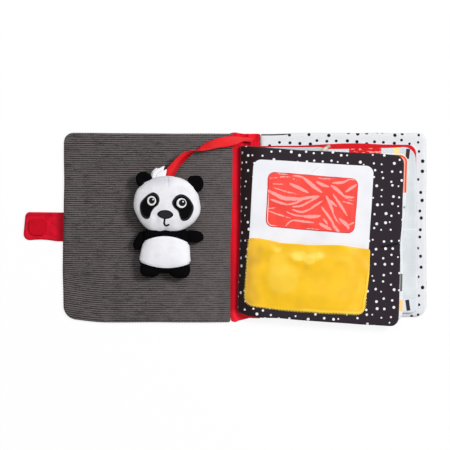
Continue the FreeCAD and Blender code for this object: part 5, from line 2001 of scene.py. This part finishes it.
def embroider_face(head_surface):
    """Eye patches, eyes, nose and mouth, stitched on the head."""
    sparks = {"left": (1.6, 1.5), "right": (1.7, 1.5)}
    shifts = {"left": (0.7, 0.0), "right": (0.3, 0.0)}
    rings = {"left": (5.0, 5.3), "right": (5.6, 5.5)}
    pupils = {"left": ((3.9, 4.0), (0.25, 0.3)), "right": ((4.3, 4.3), (0.8, 0.3))}
    for side, outline in (("left", LEFT_PATCH), ("right", RIGHT_PATCH)):
        patch_node, eye_node = "panda_eye_patch_" + side, "panda_eye_" + side
        patch = stitched_shape(patch_node + "_felt", outline, middle_of(patch_node), head_surface, 0.55,
            [BLACK_FELT, BORDER_THREAD], 1.9, 0.45)
        on_cover(patch, "thread_black", patch_node)
        middle = middle_of(eye_node)[:2] + shifts[side]
        ring = stitched_shape(eye_node + "_ring", oval(*rings[side]), middle, head_surface, 1.15,
            [EYE_WHITE])
        on_cover(ring, "thread_white", eye_node)
        pupil_size, aside = pupils[side]
        pupil = stitched_shape(eye_node + "_pupil", oval(*pupil_size), middle + aside, head_surface, 1.35,
            [BLACK_THREAD])
        on_cover(pupil, "thread_black")
        iris = stitched_shape(eye_node + "_iris", oval(2.6, 2.6), middle + aside, head_surface, 1.5,
            [BLACK_THREAD, IRIS_THREAD], 0.6, 0.1)
        on_cover(iris, "thread_black")
        spark = stitched_shape(eye_node + "_spark", oval(1.25, 1.25), middle + sparks[side], head_surface,
            1.95, [EYE_WHITE])
        on_cover(spark, "thread_white")
    middle = middle_of("panda_nose")[:2] + (0.8, 0.3)
    nose_outline = [(-0.6, 4.8), (4.2, 4.1), (7.6, 1.7), (8.6, -0.8), (6.4, -3.2), (2.6, -4.6),
        (-2.2, -4.6), (-6.2, -2.9), (-8.6, -0.2), (-7.8, 2.3), (-4.6, 4.2)]
    nose = stitched_shape("panda_nose_thread", nose_outline, middle, head_surface, 0.7,
        [GREY_THREAD, OUTLINE_THREAD], 1.5, 0.15)
    on_cover(nose, "thread_black", "panda_nose")
    mouth = [(-0.7, -4.0), (-0.9, -7.0), (-1.3, -9.4), (-0.4, -11.2), (1.2, -11.8), (2.9, -11.3),
        (4.4, -10.6)]
    line = open_curve([middle + place for place in np.array(mouth)], 40)
    mouth_thread = thread_line("panda_mouth_thread", line, head_surface, 1.05, 0.7, BLACK_THREAD)
    on_cover(mouth_thread, "thread_black")


def thread_line(name, plan, surface, half_width, rise, finish):
    """Raised line of thread laid on a surface along a plan line."""
    sides = 10
    line = with_height(plan, height_on(surface, plan, 0.0))
    beside = beside_of(unit(np.gradient(line, axis=0)))
    turn = np.arange(sides) * 2 * math.pi / sides
    ends = np.sin(math.pi * np.clip(np.linspace(0.02, 0.98, len(line)) * 8, 0, 0.5))
    ends *= np.sin(math.pi * np.clip(np.linspace(0.98, 0.02, len(line)) * 8, 0, 0.5))
    points = []
    for step, place in enumerate(line):
        wide, tall = half_width * ends[step], rise * ends[step]
        for angle in turn:
            points.append(place + beside[step] * wide * math.cos(angle)
                + np.array([0, 0, tall * math.sin(angle)]))
    reach = np.linspace(0, line_length(line), len(line))
    flat = np.stack([np.repeat(reach, sides), np.tile(turn, len(line))], axis=1)
    faces = tube_faces(0, len(line), sides)
    return new_piece(name, np.array(points), faces, [finish], flat=flat[:, ::-1])


def make_tuft():
    """White felt locks standing up from the crown."""
    middle = middle_of("panda_tuft")
    locks = [((-9.0, -9.0), (-7.6, -2.5), (-4.5, 3.7), 5.8),
        ((-6.5, -9.0), (-4.6, -1.0), (-0.6, 3.5), 6.6), ((-3.0, -9.5), (-0.6, 0.0), (3.5, 5.6), 6.8),
        ((1.2, -9.5), (2.6, -3.0), (5.8, 1.9), 6.0), ((-7.0, -9.5), (-5.4, -2.5), (-2.0, 1.6), 8.0),
        ((-1.0, -9.5), (0.2, -3.5), (1.4, 1.0), 8.5)]
    points, faces, flats = [], [], []
    for number, (root, bend, tip, width) in enumerate(locks):
        line = open_curve([root, bend, tip], 22)
        along = unit(np.gradient(line, axis=0))
        beside = np.stack([-along[:, 1], along[:, 0]], axis=1)
        share = np.linspace(0, 1, len(line))
        half = width / 2 * np.clip((1 - share) * 2.1, 0, 1) ** 0.75 + 0.12
        base = sum(len(group) for group in points)
        across = np.linspace(-1, 1, 7)
        ring = len(across) * 2 - 2
        group = []
        for step in range(len(line)):
            for side, order in ((1, across), (-1, across[-2:0:-1])):
                for place in order:
                    plan = line[step] + beside[step] * half[step] * place + middle[:2]
                    puff = 0.65 * math.sqrt(max(1 - place * place, 0)) * (0.35 + 0.65 * (1 - share[step]))
                    curl = 0.5 * (number % 3) - 0.6 + 1.6 * share[step] ** 2
                    group.append([*plan, middle[2] + curl + side * puff])
        points.append(np.array(group))
        flats.append(np.array(group)[:, :2])
        faces += tube_faces(base, len(line), ring)
    made = new_piece("panda_tuft_felt", np.concatenate(points), faces, [WHITE_FELT],
        flat=np.concatenate(flats))
    on_cover(made, "felt_white", "panda_tuft")


pocket_local, pocket_depth, pocket_plan = pocket_places()
pocket_ground = height_on(leaf_surface, pocket_plan, node_box("leaves")[1][2])
pocket_sheet = pocket_cloth_sim(pocket_local, pocket_plan,
    pocket_start(pocket_local, pocket_plan, pocket_ground))
panda_forms = start_panda()
puff = {"vertex_group_mass": "seams", "shrink_min": -0.03, "use_pressure": True,
        "uniform_pressure_force": 0.6}
stuff = {"use_pressure": True, "uniform_pressure_force": PRESSURE}
soft_frames([(pocket_sheet, POCKET_MOVE, puff),
             *((made, PLUSH_MOVE, stuff) for made in panda_forms.values())])
make_pocket_cloth(pocket_local, pocket_depth, pocket_plan, pocket_ground, pocket_sheet)
head_surface = finish_panda(panda_forms)
stitch_pocket()
stitch_ribbon(head_surface)
stitch_gutter()
stitch_tab()
stitch_covers()
embroider_face(head_surface)
make_tuft()
